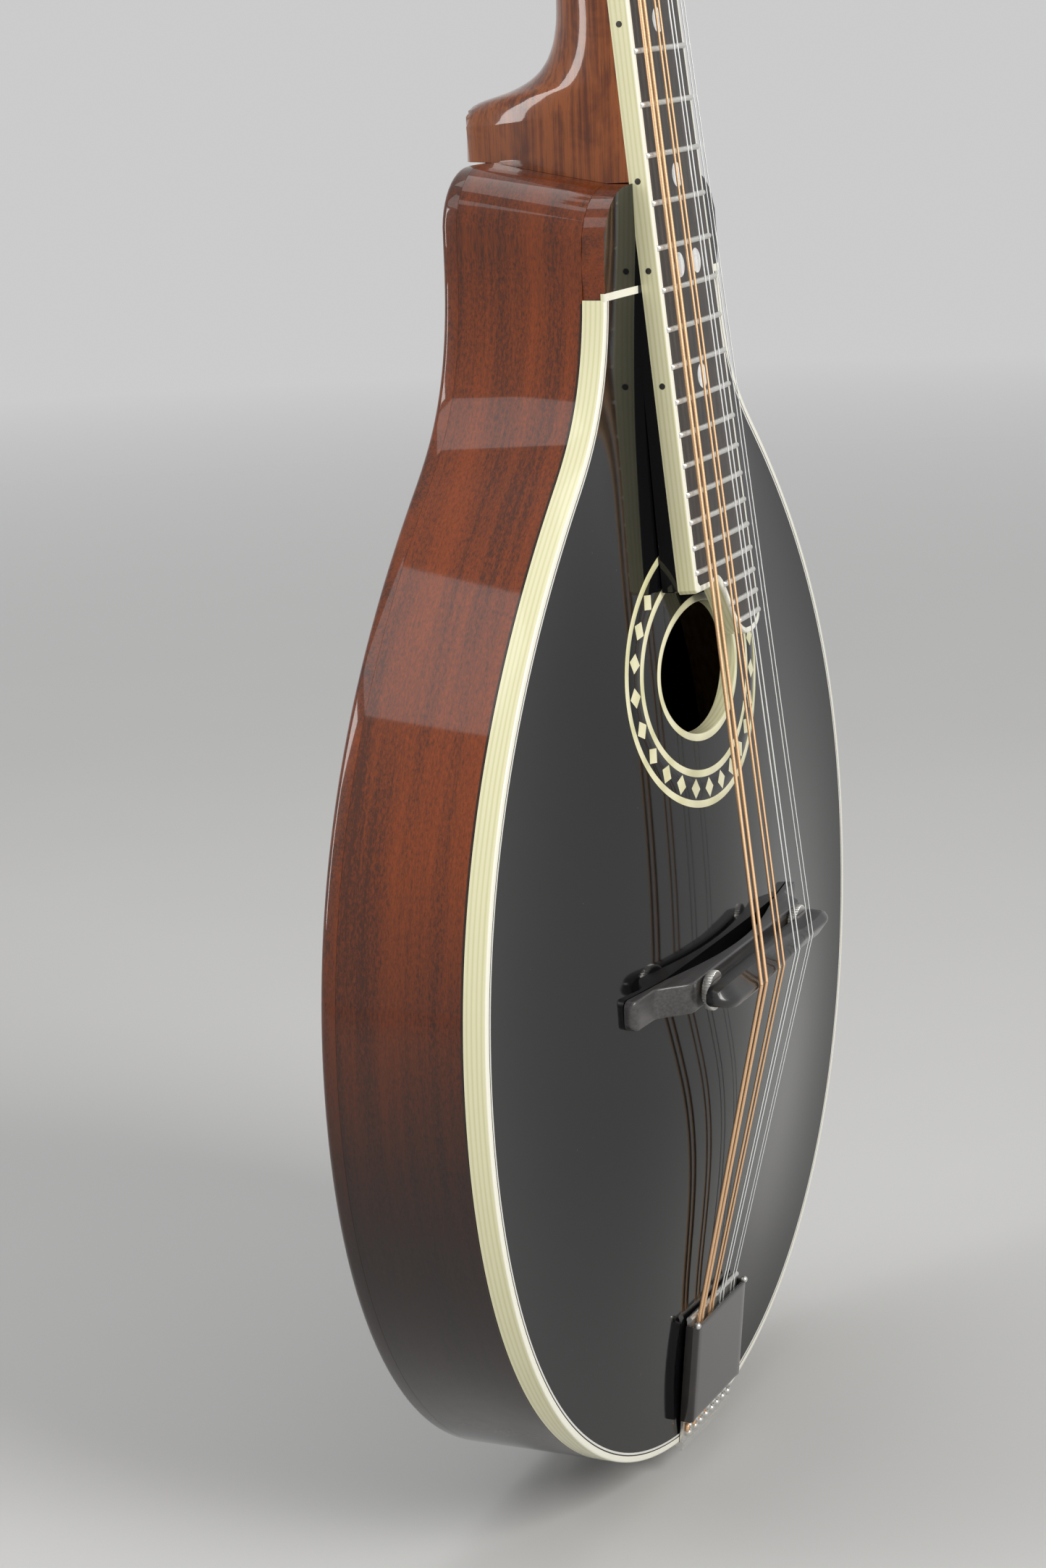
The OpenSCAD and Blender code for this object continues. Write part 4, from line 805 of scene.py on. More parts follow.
class MANDOLIN_OT_front(bpy.types.Operator):
    """Make the arched front with its sound hole"""

    bl_idname = "mandolin.front"
    bl_label = "Front"

    def execute(self, context):
        lay = Layout(context.scene)
        count = 240
        turn = np.linspace(0, 2 * np.pi, count, endpoint=False)
        centre = np.array([0, lay.hole_z])
        # the outline, met by rays from the middle of the sound hole
        edge_in = lay.inset(np.where(lay.edge[:, 1] < lay.cross_z + 1, lay.binding_width, 0.0))

        def meet(points):
            bearing = np.arctan2(points[:, 0], points[:, 1] - centre[1])
            reach = np.hypot(points[:, 0], points[:, 1] - centre[1])
            rise = np.argsort(bearing)
            around = np.concatenate([bearing[rise] - 2 * np.pi, bearing[rise], bearing[rise] + 2 * np.pi])
            far = np.interp(turn, around, np.tile(reach[rise], 3))
            return centre + far[:, None] * np.stack([np.sin(turn), np.cos(turn)], 1)

        outer = meet(edge_in)
        hole = lay.oval(lay.hole_ring, count)
        loops = [lay.on_front(hole, -4.2), lay.on_front(hole)]
        for share in np.linspace(0, 1, 56)[1:]:
            loops.append(lay.on_front(hole + (outer - hole) * share))
        rim_loop = loops[-1].copy()
        rim_loop[:, 1] = lay.front_edge
        loops.append(rim_loop)
        runs = [[(x, z, y) for x, y, z in loop] for loop in loops]
        bm = loft([[tuple(p) for p in loop] for loop in loops], runs=runs)
        for face in bm.faces:
            spot = face.calc_center_median()
            on_side = all(v.co.y > -0.01 for v in face.verts) and spot.y > 1
            if on_side and spot.z > lay.cross_z and max(v.co.y for v in face.verts) > lay.front_edge - 0.1:
                face.material_index = 1
        publish(bm, "front", ("black_lacquer", "body_wood"), "body", ["top_plate"],
                lay.place, sharp=45)
        return {"FINISHED"}


class MANDOLIN_OT_back(bpy.types.Operator):
    """Make the arched back"""

    bl_idname = "mandolin.back"
    bl_label = "Back"

    def execute(self, context):
        lay = Layout(context.scene)
        d, middle = lay.body_depth, np.array([0, 0.354 * lay.body_length])
        up = lay.lift(lay.back_y)
        round_r = 1.6
        loops = [lay.side_loop(8, lay.back_y), lay.side_loop(0, lay.back_y), lay.side_loop(0, d - round_r)]
        for t in (0.3, 0.6, 0.85):
            inset = round_r * (1 - math.cos(t * math.pi / 2))
            loops.append(lay.side_loop(inset, d - round_r + round_r * math.sin(t * math.pi / 2)))
        start = lay.inset(round_r) + np.stack([up * 0, up], 1)
        for share in np.linspace(0, 0.985, 44):
            points = start + (middle - start) * share
            rise = lay.arch(points[:, 0], np.minimum(points[:, 1], lay.body_length), lay.back_arch)
            loops.append([(x, d + h, z) for (x, z), h in zip(points, rise)])
        runs = [[(z, x, y) for x, y, z in loop] for loop in loops]
        bm = loft(loops, caps=(False, True), runs=runs)
        publish(bm, "back", "body_wood", "body", ["back_plate"], lay.place)
        return {"FINISHED"}


class MANDOLIN_OT_rim(bpy.types.Operator):
    """Make the bent rim"""

    bl_idname = "mandolin.rim"
    bl_label = "Rim"

    def execute(self, context):
        lay = Layout(context.scene)
        levels = [(0, lay.front_edge + 0.05)]
        levels += [(0, y) for y in np.linspace(lay.front_edge + 1, lay.back_y - 0.05, 6)]
        levels += [(2.2, lay.back_y - 0.05), (2.2, lay.front_edge + 0.05), (0.02, lay.front_edge + 0.05)]
        loops, runs = [], []
        for inset, y in levels:
            loops.append(lay.side_loop(inset, y))
            runs.append([(run, y, 0) for run in lay.run])
        bm = loft(loops, runs=runs)
        publish(bm, "rim_bent", "body_wood", "body", ["rim"], lay.place)
        return {"FINISHED"}


def edge_strip(lay, d0, d1, y0, y1, corner=0.0, lift=0.0):
    """A strip that follows the body's edge from one end of the cross strip round the tail to the other."""
    keep = [k for k in range(len(lay.edge)) if lay.edge[k, 1] <= lay.cross_z]
    split = max(k for k in keep if k < len(lay.edge) / 2) + 1
    route = [k for k in keep if k >= split] + [k for k in keep if k < split]
    section = [(d1, y1), (d0, y1), (d0, y0 + corner)]
    if corner:
        section += [(d0 + corner * (1 - math.cos(a)), y0 + corner * (1 - math.sin(a))) for a in (0.5, 1.05)]
    section += [(d0 + corner, y0), (d1, y0)]
    loops = []
    for k in route:
        p, n = lay.edge[k], lay.inward[k]
        loop = []
        for d, y in section:
            x, z = p[0] + n[0] * d, p[1] + n[1] * d
            loop.append((x, y - lift - float(lay.arch(x, z)) * (y <= y0 + corner), z))
        loops.append(loop)
    for loop, z in ((loops[0], lay.cross_z), (loops[-1], lay.cross_z)):
        for i, point in enumerate(loop):
            loop[i] = (point[0], point[1], z + 0.3)
    return loft(loops, caps=(True, True))


class MANDOLIN_OT_bindings(bpy.types.Operator):
    """Make the body binding, its inner line and the strip across the front"""

    bl_idname = "mandolin.bindings"
    bl_label = "Body bindings"

    def execute(self, context):
        lay = Layout(context.scene)
        strip = edge_strip(lay, 0.0, lay.binding_width, -0.03, lay.front_edge - 0.08, 0.5)
        parts = [strip]
        board = lay.board_half(BOARD_AT_STRIP)
        for side in (-1, 1):
            xs = np.linspace(board, float(lay.half_at(lay.cross_z)), 12)
            loops = []
            for x in xs:
                top = -float(lay.arch(x, lay.cross_z + 1)) - 0.05
                loops.append([(side * x, top, lay.cross_z), (side * x, top, lay.cross_z + 1.9),
                              (side * x, 1.0, lay.cross_z + 1.9), (side * x, 1.0, lay.cross_z)])
            parts.append(loft(loops, caps=(True, True)))
        publish(join(parts), "binding", "ivoroid", "body", ["body_binding"], lay.place)
        line = edge_strip(lay, lay.binding_width + 0.35, lay.binding_width + 0.9, 0, 0.5, 0.0, 0.05)
        publish(line, "binding_line", "line_white", "body", ["purfling"], lay.place)
        return {"FINISHED"}


def oval_ring(lay, d0, d1, above, corner=0.25, depth=1.0, count=160):
    """A ring that follows the front's arch, with its two upper edges rounded."""
    rows = [(d0, -depth), (d0, above - corner), (d0 + corner * 0.3, above - corner * 0.3),
            (d0 + corner, above),
            ((d0 + d1) / 2, above), (d1 - corner, above), (d1 - corner * 0.3, above - corner * 0.3),
            (d1, above - corner), (d1, -depth)]
    return loft([[tuple(p) for p in lay.on_front(lay.oval(d, count), up)] for d, up in rows])


class MANDOLIN_OT_rosette(bpy.types.Operator):
    """Make the ring that binds the sound hole and the rosette round it"""

    bl_idname = "mandolin.rosette"
    bl_label = "Rosette"

    def execute(self, context):
        lay = Layout(context.scene)
        ring = oval_ring(lay, 0, lay.hole_ring, 0.05, 0.35, 4.2)
        publish(ring, "hole_ring", "ivoroid_rosette", "body", ["soundhole_binding"], lay.place)
        rings = join([oval_ring(lay, lay.rosette_in, lay.rosette_in + lay.ring_width, 0.05, 0.06),
                      oval_ring(lay, lay.rosette_out - lay.ring_width, lay.rosette_out, 0.05, 0.06)])
        publish(rings, "rosette_lines", "ivoroid_rosette", "body", ["rosette_rings"], lay.place)
        band = oval_ring(lay, lay.rosette_in + lay.ring_width, lay.rosette_out - lay.ring_width, 0.02, 0.03)
        publish(band, "rosette_ground", "black_lacquer", "body", ["rosette_band"], lay.place)
        self.diamonds(lay)
        return {"FINISHED"}

    def diamonds(self, lay):
        middle = lay.rosette_in + lay.ring_width + lay.band_width / 2
        a, b = lay.hole_half_width + middle, lay.hole_half_height + middle
        turn = np.linspace(0, 2 * np.pi, 721)
        path = np.stack([a * np.sin(turn), b * np.cos(turn)], 1)
        run = np.concatenate([[0], np.cumsum(np.linalg.norm(np.diff(path, axis=0), axis=1))])
        parts = []
        for k in range(lay.diamond_count):
            t = float(np.interp((k + 0.5) / lay.diamond_count * run[-1], run, turn))
            x, z = a * math.sin(t), b * math.cos(t)
            if abs(x) < lay.board_half(BOARD_AT_ROSETTE) + 2.5 and z > 0:
                continue
            out = Vector((b * math.sin(t), a * math.cos(t))).normalized()
            side = Vector((out.y, -out.x))
            reach = lay.diamond_side / math.sqrt(2)
            corners = [out * reach, side * reach, -out * reach, -side * reach]
            spots = np.array([[x + p.x, lay.hole_z + z + p.y] for p in corners])
            loops = [lay.on_front(spots, -0.8), lay.on_front(spots, 0.05)]
            parts.append(loft([[tuple(p) for p in loop] for loop in loops], caps=(True, True)))
        publish(join(parts), "diamonds", "ivoroid_rosette", "body", ["rosette_diamonds"],
                lay.place, sharp=20)


# ---------------------------------------------------------------- pieces of the neck


class MANDOLIN_OT_neck(bpy.types.Operator):
    """Make the neck with its heel, and the head"""

    bl_idname = "mandolin.neck"
    bl_label = "Neck"

    def execute(self, context):
        lay = Layout(context.scene)
        rows = lay.neck_rows()
        start = -lay.nut_above / math.cos(lay.neck_tilt) + 0.9
        zs = np.concatenate([np.linspace(start, -132, 24), np.linspace(-131.5, -100, 64),
                             np.linspace(-98, -20, 28),
                             np.linspace(-18, lay.nut_t + 8, 14)])
        slopes = np.gradient(rows[:, 1], rows[:, 0])
        loops = []
        for z in zs:
            depth = self.curve(z, rows[:, 0], rows[:, 1], slopes)
            power = float(np.interp(z, rows[:, 0], rows[:, 2]))
            half = min(lay.board_half(z), 30)
            loop = []
            for a in np.linspace(0, math.pi, 33):
                c, s = math.cos(a), math.sin(a)
                x = half * math.copysign(abs(c) ** power, c)
                y = lay.board_thickness + (depth - lay.board_thickness) * abs(s) ** power
                loop.append(self.cut_heel(lay, x, y, z))
            loops.append(loop)
        shaft = loft(loops, caps=(True, True))
        publish(shaft, "neck_shaft", "neck_wood", "body", ["neck"], lay.neck_place, sharp=50)
        head = slab(lay.head_edge, lay.veneer, lay.veneer + lay.head_thickness)
        soften(head, 1.2, 3, 50)
        publish(head, "head_wood", "neck_wood", "body", [], lay.head_place)
        veneer = slab(lay.head_edge, 0, lay.veneer)
        soften(veneer, 0.35, 2, 50)
        publish(veneer, "head_face", "black_lacquer", "body", ["headstock_veneer"],
                lay.head_place)
        dress("neck_bar", "steel")
        return {"FINISHED"}

    @staticmethod
    def curve(z, xs, ys, slopes):
        k = int(np.clip(np.searchsorted(xs, z) - 1, 0, len(xs) - 2))
        h = xs[k + 1] - xs[k]
        t = (z - xs[k]) / h
        rise = (ys[k + 1] - ys[k]) / h
        m0 = slopes[k] if abs(rise) > 1e-6 else 0.0
        m1 = slopes[k + 1] if abs(rise) > 1e-6 else 0.0
        limit = 2.5 * abs(rise)
        m0, m1 = (max(-limit, min(limit, m)) for m in (m0, m1))
        return ((2 * t**3 - 3 * t * t + 1) * ys[k] + (t**3 - 2 * t * t + t) * h * m0
                + (3 * t * t - 2 * t**3) * ys[k + 1] + (t**3 - t * t) * h * m1)

    @staticmethod
    def cut_heel(lay, x, y, z):
        """Flattens what would stand out past the heel's end or into the body."""
        p = lay.neck_in_body @ Vector((x, y, z))
        p.y = min(p.y, lay.body_depth + 5.4)
        share = min(max((p.y - lay.front_edge) / (lay.back_y - lay.front_edge), 0), 1)
        p.z = max(p.z, lay.body_length + lay.shoulder_rise * share + 0.05)
        return tuple(lay.neck_in_body.inverted() @ p)


class MANDOLIN_OT_fingerboard(bpy.types.Operator):
    """Make the fingerboard, its binding and its support"""

    bl_idname = "mandolin.fingerboard"
    bl_label = "Fingerboard"

    def execute(self, context):
        lay = Layout(context.scene)
        d, thick = lay.board_binding, lay.board_thickness
        board = slab(lay.board_plan(d - 0.02), 0, thick - 0.05)
        for x in np.arange(-18, 18.1, 1.5):
            bmesh.ops.bisect_plane(board, geom=board.verts[:] + board.edges[:] + board.faces[:],
                                   plane_co=(x, 0, 0), plane_no=(1, 0, 0))
        for v in board.verts:
            if v.co.y < 0.01:
                v.co.y += lay.crown_y(v.co.x)
        publish(board, "board", "ebony", "body", ["fretboard"], lay.neck_place, sharp=30)
        rows = [(d, thick), (0, thick), (-0.02, 0.7), (0.12, 0.28), (0.38, 0.03), (0.7, -0.02), (d, -0.02)]
        loops = []
        for inset, y in rows:
            points = lay.board_plan(inset)
            loops.append([(x, y + (lay.crown_y(x) if y < 1 else 0), z) for x, z in points])
        binding = loft(loops)
        publish(binding, "board_binding", "ivoroid_board", "body", ["fretboard_binding"],
                lay.neck_place)
        dress("fretboard_riser", "black_lacquer")
        dress("nut", "bone")
        self.frets(lay)
        self.dots(lay)
        return {"FINISHED"}

    def dots(self, lay):
        """Pearl dots let into the face, and small dark dots in the binding on the bass side."""
        face, side = [], []
        for n, xs in ((5, (0,)), (7, (0,)), (10, (0,)), (12, (-5.75, 5.75)), (15, (0,))):
            z = (lay.fret_z(n) + lay.fret_z(n - 1)) / 2
            for x in xs:
                face.append(self.disc(lay, x, z))
            bm = turned([(0, 0.5), (0.8, 0.5), (0.8, -0.06), (0.7, -0.08), (0, -0.08)], 24)
            quarter = Matrix.Rotation(math.radians(-90), 4, "Z")
            side.append(moved(bm, Matrix.Translation((-lay.board_half(z), 2.6, z)) @ quarter))
        publish(join(face), "pearl_dots", "pearl", "body", ["face_dots"], lay.neck_place, sharp=30)
        publish(join(side), "edge_dots", "ebony", "body", ["side_dots"], lay.neck_place, sharp=30)

    @staticmethod
    def disc(lay, x, z):
        loops = []
        for radius, up in ((lay.dot_width / 2, 0.3), (lay.dot_width / 2, -0.02), (lay.dot_width / 4, -0.03)):
            loops.append([(x + radius * math.cos(a), lay.crown_y(x + radius * math.cos(a)) + up,
                           z + radius * math.sin(a))
                          for a in np.linspace(0, math.tau, 48, endpoint=False)])
        return loft(loops, caps=(True, True))

    def frets(self, lay):
        parts = []
        for n in range(1, lay.fret_count + 1):
            z = lay.fret_z(n)
            right = lay.board_half(z) - 0.75
            left = -right
            if n > 21:
                left = self.left_end(lay, z)
            parts.append(self.fret(lay, z, left, right))
        publish(join(parts), "fret_wires", "fret_metal", "body", ["frets"], lay.neck_place,
                sharp=60)

    @staticmethod
    def left_end(lay, z):
        """Where the board's throat cuts a fret short."""
        plan = lay.board_plan(lay.board_binding)
        xs = []
        for (x0, z0), (x1, z1) in zip(plan, np.roll(plan, -1, 0)):
            if (z0 - z) * (z1 - z) < 0:
                xs.append(x0 + (x1 - x0) * (z - z0) / (z1 - z0))
        return min(xs) - 0.9

    @staticmethod
    def fret(lay, z, left, right):
        w, h = lay.fret_width / 2, lay.fret_height
        loops = []
        slant = [(0.0, 0.05), (0.25, 0.5), (0.55, 0.88), (0.9, 1.0)]
        xs = [(left + dx, k) for dx, k in slant] + [(left + (right - left) * t, 1.0)
                for t in np.linspace(0.1, 0.9, 9)]
        xs += [(right - dx, k) for dx, k in slant[::-1]]
        for x, k in xs:
            base = lay.crown_y(x)
            loop = [(x, base + 0.25, z - w), (x, base - 0.05, z - w)]
            loop += [(x, base - h * k * math.sin(a), z - w * math.cos(a))
                     for a in np.linspace(0.35, math.pi - 0.35, 7)]
            loop += [(x, base - 0.05, z + w), (x, base + 0.25, z + w)]
            loops.append(loop)
        return loft(loops, caps=(True, True))


# ---------------------------------------------------------------- bridge


class MANDOLIN_OT_bridge(bpy.types.Operator):
    """Make the bridge base, its posts and thumbwheels, and the saddle"""

    bl_idname = "mandolin.bridge"
    bl_label = "Bridge"

    def execute(self, context):
        lay = Layout(context.scene)
        self.base(lay)
        self.posts(lay)
        for side, name in ((-1, "bass"), (1, "treble")):
            self.wheel(lay, side, name)
        self.saddle(lay)
        return {"FINISHED"}

    def base(self, lay):
        half, thick, z0 = lay.base_length / 2, lay.base_thickness / 2, lay.bridge_z
        foot = half - 21
        tip = -max(float(lay.arch(half, z0 + d * thick)) for d in (-1, 0, 1)) - 0.05 - 3.0

        def seat(x):
            low = -max(float(lay.arch(x, z0 + d * thick)) for d in (-1, 0, 1)) - 0.05
            return low - 2.6 * math.cos(math.pi / 2 * x / foot) if abs(x) < foot else low

        def top(x):
            near = half - abs(x)
            u = min(max((near - 11) / 10, 0), 1)
            worn = 1.8 * (1 - math.sqrt(1 - (1 - near / 2.6) ** 2)) if near < 2.6 else 0
            flat = tip - 0.05 * near
            return flat + worn + (lay.base_top - flat) * u * u * (3 - 2 * u)

        rounding = (0, 0.12, 0.45, 1.0, 1.7)
        xs = [-half + d for d in rounding] + list(np.linspace(-half + 2.4, half - 2.4, 110))
        xs += [half - d for d in rounding[::-1]]
        loops = []
        for x in xs:
            near = half - abs(x)
            t = thick - (2.0 - math.sqrt(max(0, 4 - (2 - near) ** 2)) if near < 2 else 0)
            y0, y1, r = top(x), seat(x), 0.55
            loop = [(x, y1, z0 - t), (x, y1, z0 + t)]
            for a in np.linspace(0, math.pi / 2, 4):
                loop.append((x, y0 + r - r * math.sin(a), z0 + t - r + r * math.cos(a)))
            for a in np.linspace(math.pi / 2, 0, 4):
                loop.append((x, y0 + r - r * math.sin(a), z0 - t + r - r * math.cos(a)))
            loops.append(loop)
        publish(loft(loops, caps=(True, True)), "bridge_foot", "bridge_ebony", "body", ["bridge_base"],
                lay.place, sharp=40)

    def posts(self, lay):
        parts = []
        low, high = lay.base_top + 1, lay.saddle_y - 1
        profile = [(0, low)]
        y = low
        while y > high:
            profile += [(1.22, y), (1.42, y - 0.2), (1.42, y - 0.3), (1.22, y - 0.5)]
            y -= 0.7
        profile.append((0, y))
        for side in (-1, 1):
            parts.append(moved(turned(profile, 32),
                               Matrix.Translation((side * lay.post_gap / 2, 0, lay.bridge_z))))
        publish(join(parts), "threaded_posts", "brass", "body", ["bridge_posts"], lay.place,
                sharp=60)

    def wheel(self, lay, side, name):
        r, y1, y0 = lay.wheel_radius, lay.wheel_y, lay.wheel_y - 2.3
        ridges, per = 40, 4
        count = ridges * per
        depth = np.tile([0.0, 0.0, 0.3, 0.3], ridges)

        def ring(radius, y, cut=0.0):
            return [((radius - cut * depth[k]) * math.cos(math.tau * k / count), y,
                     (radius - cut * depth[k]) * math.sin(math.tau * k / count)) for k in range(count)]

        loops = [ring(1.45, y1), ring(r - 0.45, y1), ring(r - 0.08, y1 - 0.22, 1), ring(r, y1 - 0.4, 1),
                 ring(r, y0 + 0.4, 1), ring(r - 0.08, y0 + 0.22, 1), ring(r - 0.45, y0), ring(1.45,
                         y0), ring(1.45, y1)]
        bm = moved(loft(loops), Matrix.Translation((side * lay.post_gap / 2, 0, lay.bridge_z)))
        bmesh.ops.remove_doubles(bm, verts=bm.verts, dist=1e-4)
        publish(bm, "knurled_wheel_" + name, "nickel", "wheel_" + name, ["thumbwheel_" + name],
                lay.place, sharp=30)

    def saddle(self, lay):
        z0, low, half = lay.bridge_z, lay.saddle_y, lay.saddle_length / 2
        tops = [(self.string_x(lay, c), lay.saddle_point(c, 0)) for c in range(4)]

        def top(x):
            return float(np.interp(x, [x for x, _ in tops], [p.y for _, p in tops])) + 0.75

        def ridge_z(x):
            step = float(np.interp(x, [x for x, _ in tops], [p.z for _, p in tops]))
            return np.clip(step - z0, -1.6, 1.6)

        xs = list(-half + 7.5
                  * (1 - np.cos(np.linspace(0.02, math.pi / 2, 12)))) + list(np.linspace(-half + 8.2,
                          half - 8.2, 60))
        xs += [-x for x in xs[:12][::-1]]
        loops = []
        for x in xs:
            near = half - abs(x)
            k = math.sqrt(max(0.0, 1 - (1 - near / 7.5) ** 2)) if near < 7.5 else 1.0
            t = 3.4 * (0.25 + 0.75 * k)
            crest = low - 2.2 - (low - 2.2 - top(x)) * k
            mid = float(ridge_z(x)) * k
            loop = [(x, low, z0 - t + 0.3), (x, low, z0 + t - 0.3), (x, low - 0.4, z0 + t),
                    (x, low - 1.6, z0 + t),
                    (x, crest + 2.6 * k, z0 + (t * 0.92 + mid * 0.1)), (x, crest + 1.1 * k,
                            z0 + mid + 1.9 * k + 0.1),
                    (x, crest + 0.25 * k, z0 + mid + 0.8 * k + 0.05), (x, crest, z0 + mid),
                    (x, crest + 0.25 * k, z0 + mid - 0.8 * k - 0.05), (x, crest + 1.1 * k,
                            z0 + mid - 1.9 * k - 0.1),
                    (x, crest + 2.6 * k, z0 - (t * 0.92 - mid * 0.1)), (x, low - 1.6, z0 - t), (x,
                            low - 0.4, z0 - t)]
            loops.append(loop)
        publish(loft(loops, caps=(True, True)), "saddle_top", "polished_ebony", "saddle",
                ["bridge_saddle"], lay.place, sharp=40)

    @staticmethod
    def string_x(lay, c):
        return lay.course[c] * 18.6


# ---------------------------------------------------------------- tail, tuners and strings


class MANDOLIN_OT_tail(bpy.types.Operator):
    """Make the tailpiece cover and dress the tail's fittings"""

    bl_idname = "mandolin.tail"
    bl_label = "Tailpiece"

    def execute(self, context):
        lay = Layout(context.scene)
        w, z0, z1 = lay.tail_width / 2, 8, lay.cover_length
        loops = []
        for z in np.concatenate([[z0, z0 + 0.15, z0 + 0.5], np.linspace(z0 + 1.2, z1 - 1.2, 10),
                                 [z1 - 0.5, z1 - 0.15, z1]]):
            near = min(z - z0, z1 - z)
            fall = 0.4 - math.sqrt(max(0, 0.16 - (0.4 - near) ** 2)) if near < 0.4 else 0.0
            outer, inner = [], []
            r = 1.5
            outer += [(w, -0.12, z), (w, -3.6 + r, z)]
            outer += [(w - r + r * math.cos(a), -3.6 + r - r * math.sin(a), z)
                      for a in np.linspace(0.3, math.pi / 2, 5)]
            for t in np.linspace(0.8, -0.8, 9):
                outer.append((w * t, -3.6 - 0.02 * (1 - t * t) + fall, z))
            outer += [(-x, y, zz) for x, y, zz in outer[6::-1]]
            t_ = 0.8
            inner = [(x * (w - t_) / w,
                      max(y, -2.6) if abs(x) < w - 1.0 else y + (t_
                              if y < -1.6 else 0), zz) for x, y, zz in outer[::-1]]
            loops.append(outer + inner)
        bm = loft(loops, caps=(True, True))
        publish(bm, "cover_shell", "tortoise", "cover", ["tailpiece_cover"], lay.tail_place,
                sharp=40)
        self.beads(lay)
        dress("tailpiece", "nickel")
        dress("screws", "nickel")
        dress("end_pin", "polished_ebony")
        for node in ("linings", "head_block", "tail_block", "top_brace"):
            dress(node, "inner_wood")
        return {"FINISHED"}


    def beads(self, lay):
        """Bright balls: the ends of the eight string loops, and the two corners of the cover's lip."""
        loops = []
        for c in range(4):
            for s in (-1, 1):
                x = MANDOLIN_OT_strings.tail_x(c, s, lay) + s * (0.59 + lay.string_radius[c])
                for radius, y, z in ((1.15, -1.25, 3.4), (0.9, -1.45, 5.6)):
                    loops.append(self.ball(radius, (x, y, z)))
        publish(join(loops), "loop_ends", "nickel", "body", [], lay.tail_place, sharp=60)
        half, top = lay.tail_width / 2 - 0.9, lay.cover_length + 0.3
        corners = [self.ball(0.95, (side * half, -3.1, top)) for side in (-1, 1)]
        publish(join(corners), "cover_corners", "nickel", "cover", [], lay.tail_place, sharp=60)

    @staticmethod
    def ball(radius, at):
        bm = bmesh.new()
        bmesh.ops.create_uvsphere(bm, u_segments=20, v_segments=12, radius=radius)
        return moved(bm, Matrix.Translation(at))


class MANDOLIN_OT_tuners(bpy.types.Operator):
    """Make the string posts and buttons, and dress the plates and worm shafts"""

    bl_idname = "mandolin.tuners"
    bl_label = "Tuners"

    def execute(self, context):
        lay = Layout(context.scene)
        for n in range(1, 9):
            self.post(lay, n)
            self.button(lay, n)
            dress(f"tuner_shaft_{n}", "nickel")
        dress("tuner_plates", "nickel")
        dress("post_bushings", "nickel")
        return {"FINISHED"}

    def post(self, lay, n):
        r, top, gear = lay.tuner_radius, -lay.veneer - 10.5, lay.gear_y
        profile = [(0, top), (r - 0.7, top), (r - 0.25, top + 0.15), (r, top + 0.6), (r, top + 1.6),
                   (r - 0.35, top + 2.4),
                   (r - 0.5, top + 4.5), (r - 0.35, top + 6.4), (r, top + 7.4), (r, gear), (r, gear + 2.6),
                   (1.6, gear + 2.6), (1.6, gear + 3.3), (1.3, gear + 3.6), (0, gear + 3.6)]
        post = turned(profile, 40)
        teeth = []
        for k in range(14):
            for share, radius in ((-0.26, 4.1), (-0.13, 5.1), (0.13, 5.1), (0.26, 4.1)):
                a = math.tau / 14 * (k + share)
                teeth.append((radius * math.sin(a), radius * math.cos(a)))
        wheel = soften(slab(teeth, gear, gear + 2.6), 0.12, 1, 60)
        bm = moved(join([post, wheel]), Matrix.Translation((lay.post_side(n) * 25, 0, lay.post_z(n))))
        publish(bm, f"string_post_{n}", "nickel", f"post_{n}", [f"tuner_post_{n}"],
                lay.head_place, sharp=30)

    def button(self, lay, n):
        side = lay.post_side(n)
        half_l, half_w, half_t = lay.button_length / 2, lay.button_width / 2, 2.75
        out = lay.head_width / 2 - 25 + 9
        axle_y, axle_z = lay.gear_y + 1.3, 6.9
        loops = []
        for t in np.linspace(-1, 1, 17):
            y = half_t * math.sin(t * math.pi / 2)
            shrink = math.cos(t * math.pi / 2 * 0.97) ** 0.42
            loop = []
            for a in np.linspace(0, math.tau, 40, endpoint=False):
                c, s = math.cos(a), math.sin(a)
                x = half_l * math.copysign(abs(c) ** 0.72, c)
                z = half_w * math.copysign(abs(s) ** 0.72, s)
                waist = 1 - 0.16 * max(0.0, -side * c) ** 2
                loop.append((x * (0.86 + 0.14 * shrink), y, z * waist * (0.86 + 0.14 * shrink)))
            loops.append(loop)
        bm = moved(loft(loops, caps=(True, True)),
                   Matrix.Translation((side * (25 + out - 3 + half_l), axle_y, lay.post_z(n) + axle_z)))
        publish(bm, f"button_{n}", "button_plastic", f"tuner_{n}", [f"tuner_button_{n}"],
                lay.head_place, sharp=50)


def tube(points, radius, sides=10):
    """A round wire along a route, with the run along it kept as its grain."""
    points = [Vector(p) for p in points]
    loops, runs, run = [], [], 0.0
    for k, p in enumerate(points):
        ahead = (points[min(k + 1, len(points) - 1)] - points[min(k, len(points) - 2)]).normalized()
        behind = (points[max(k, 1)] - points[max(k - 1, 0)]).normalized()
        way = (ahead + behind).normalized()
        side = way.cross(Vector((0, 1, 0))).normalized()
        up = side.cross(way)
        if k:
            run += (p - points[k - 1]).length
        loops.append([tuple(p + radius * (math.cos(a) * side + math.sin(a) * up))
                      for a in np.linspace(0, math.tau, sides, endpoint=False)])
        runs.append([(run, 0, 0)] * sides)
    return loft(loops, caps=(True, True), runs=runs)


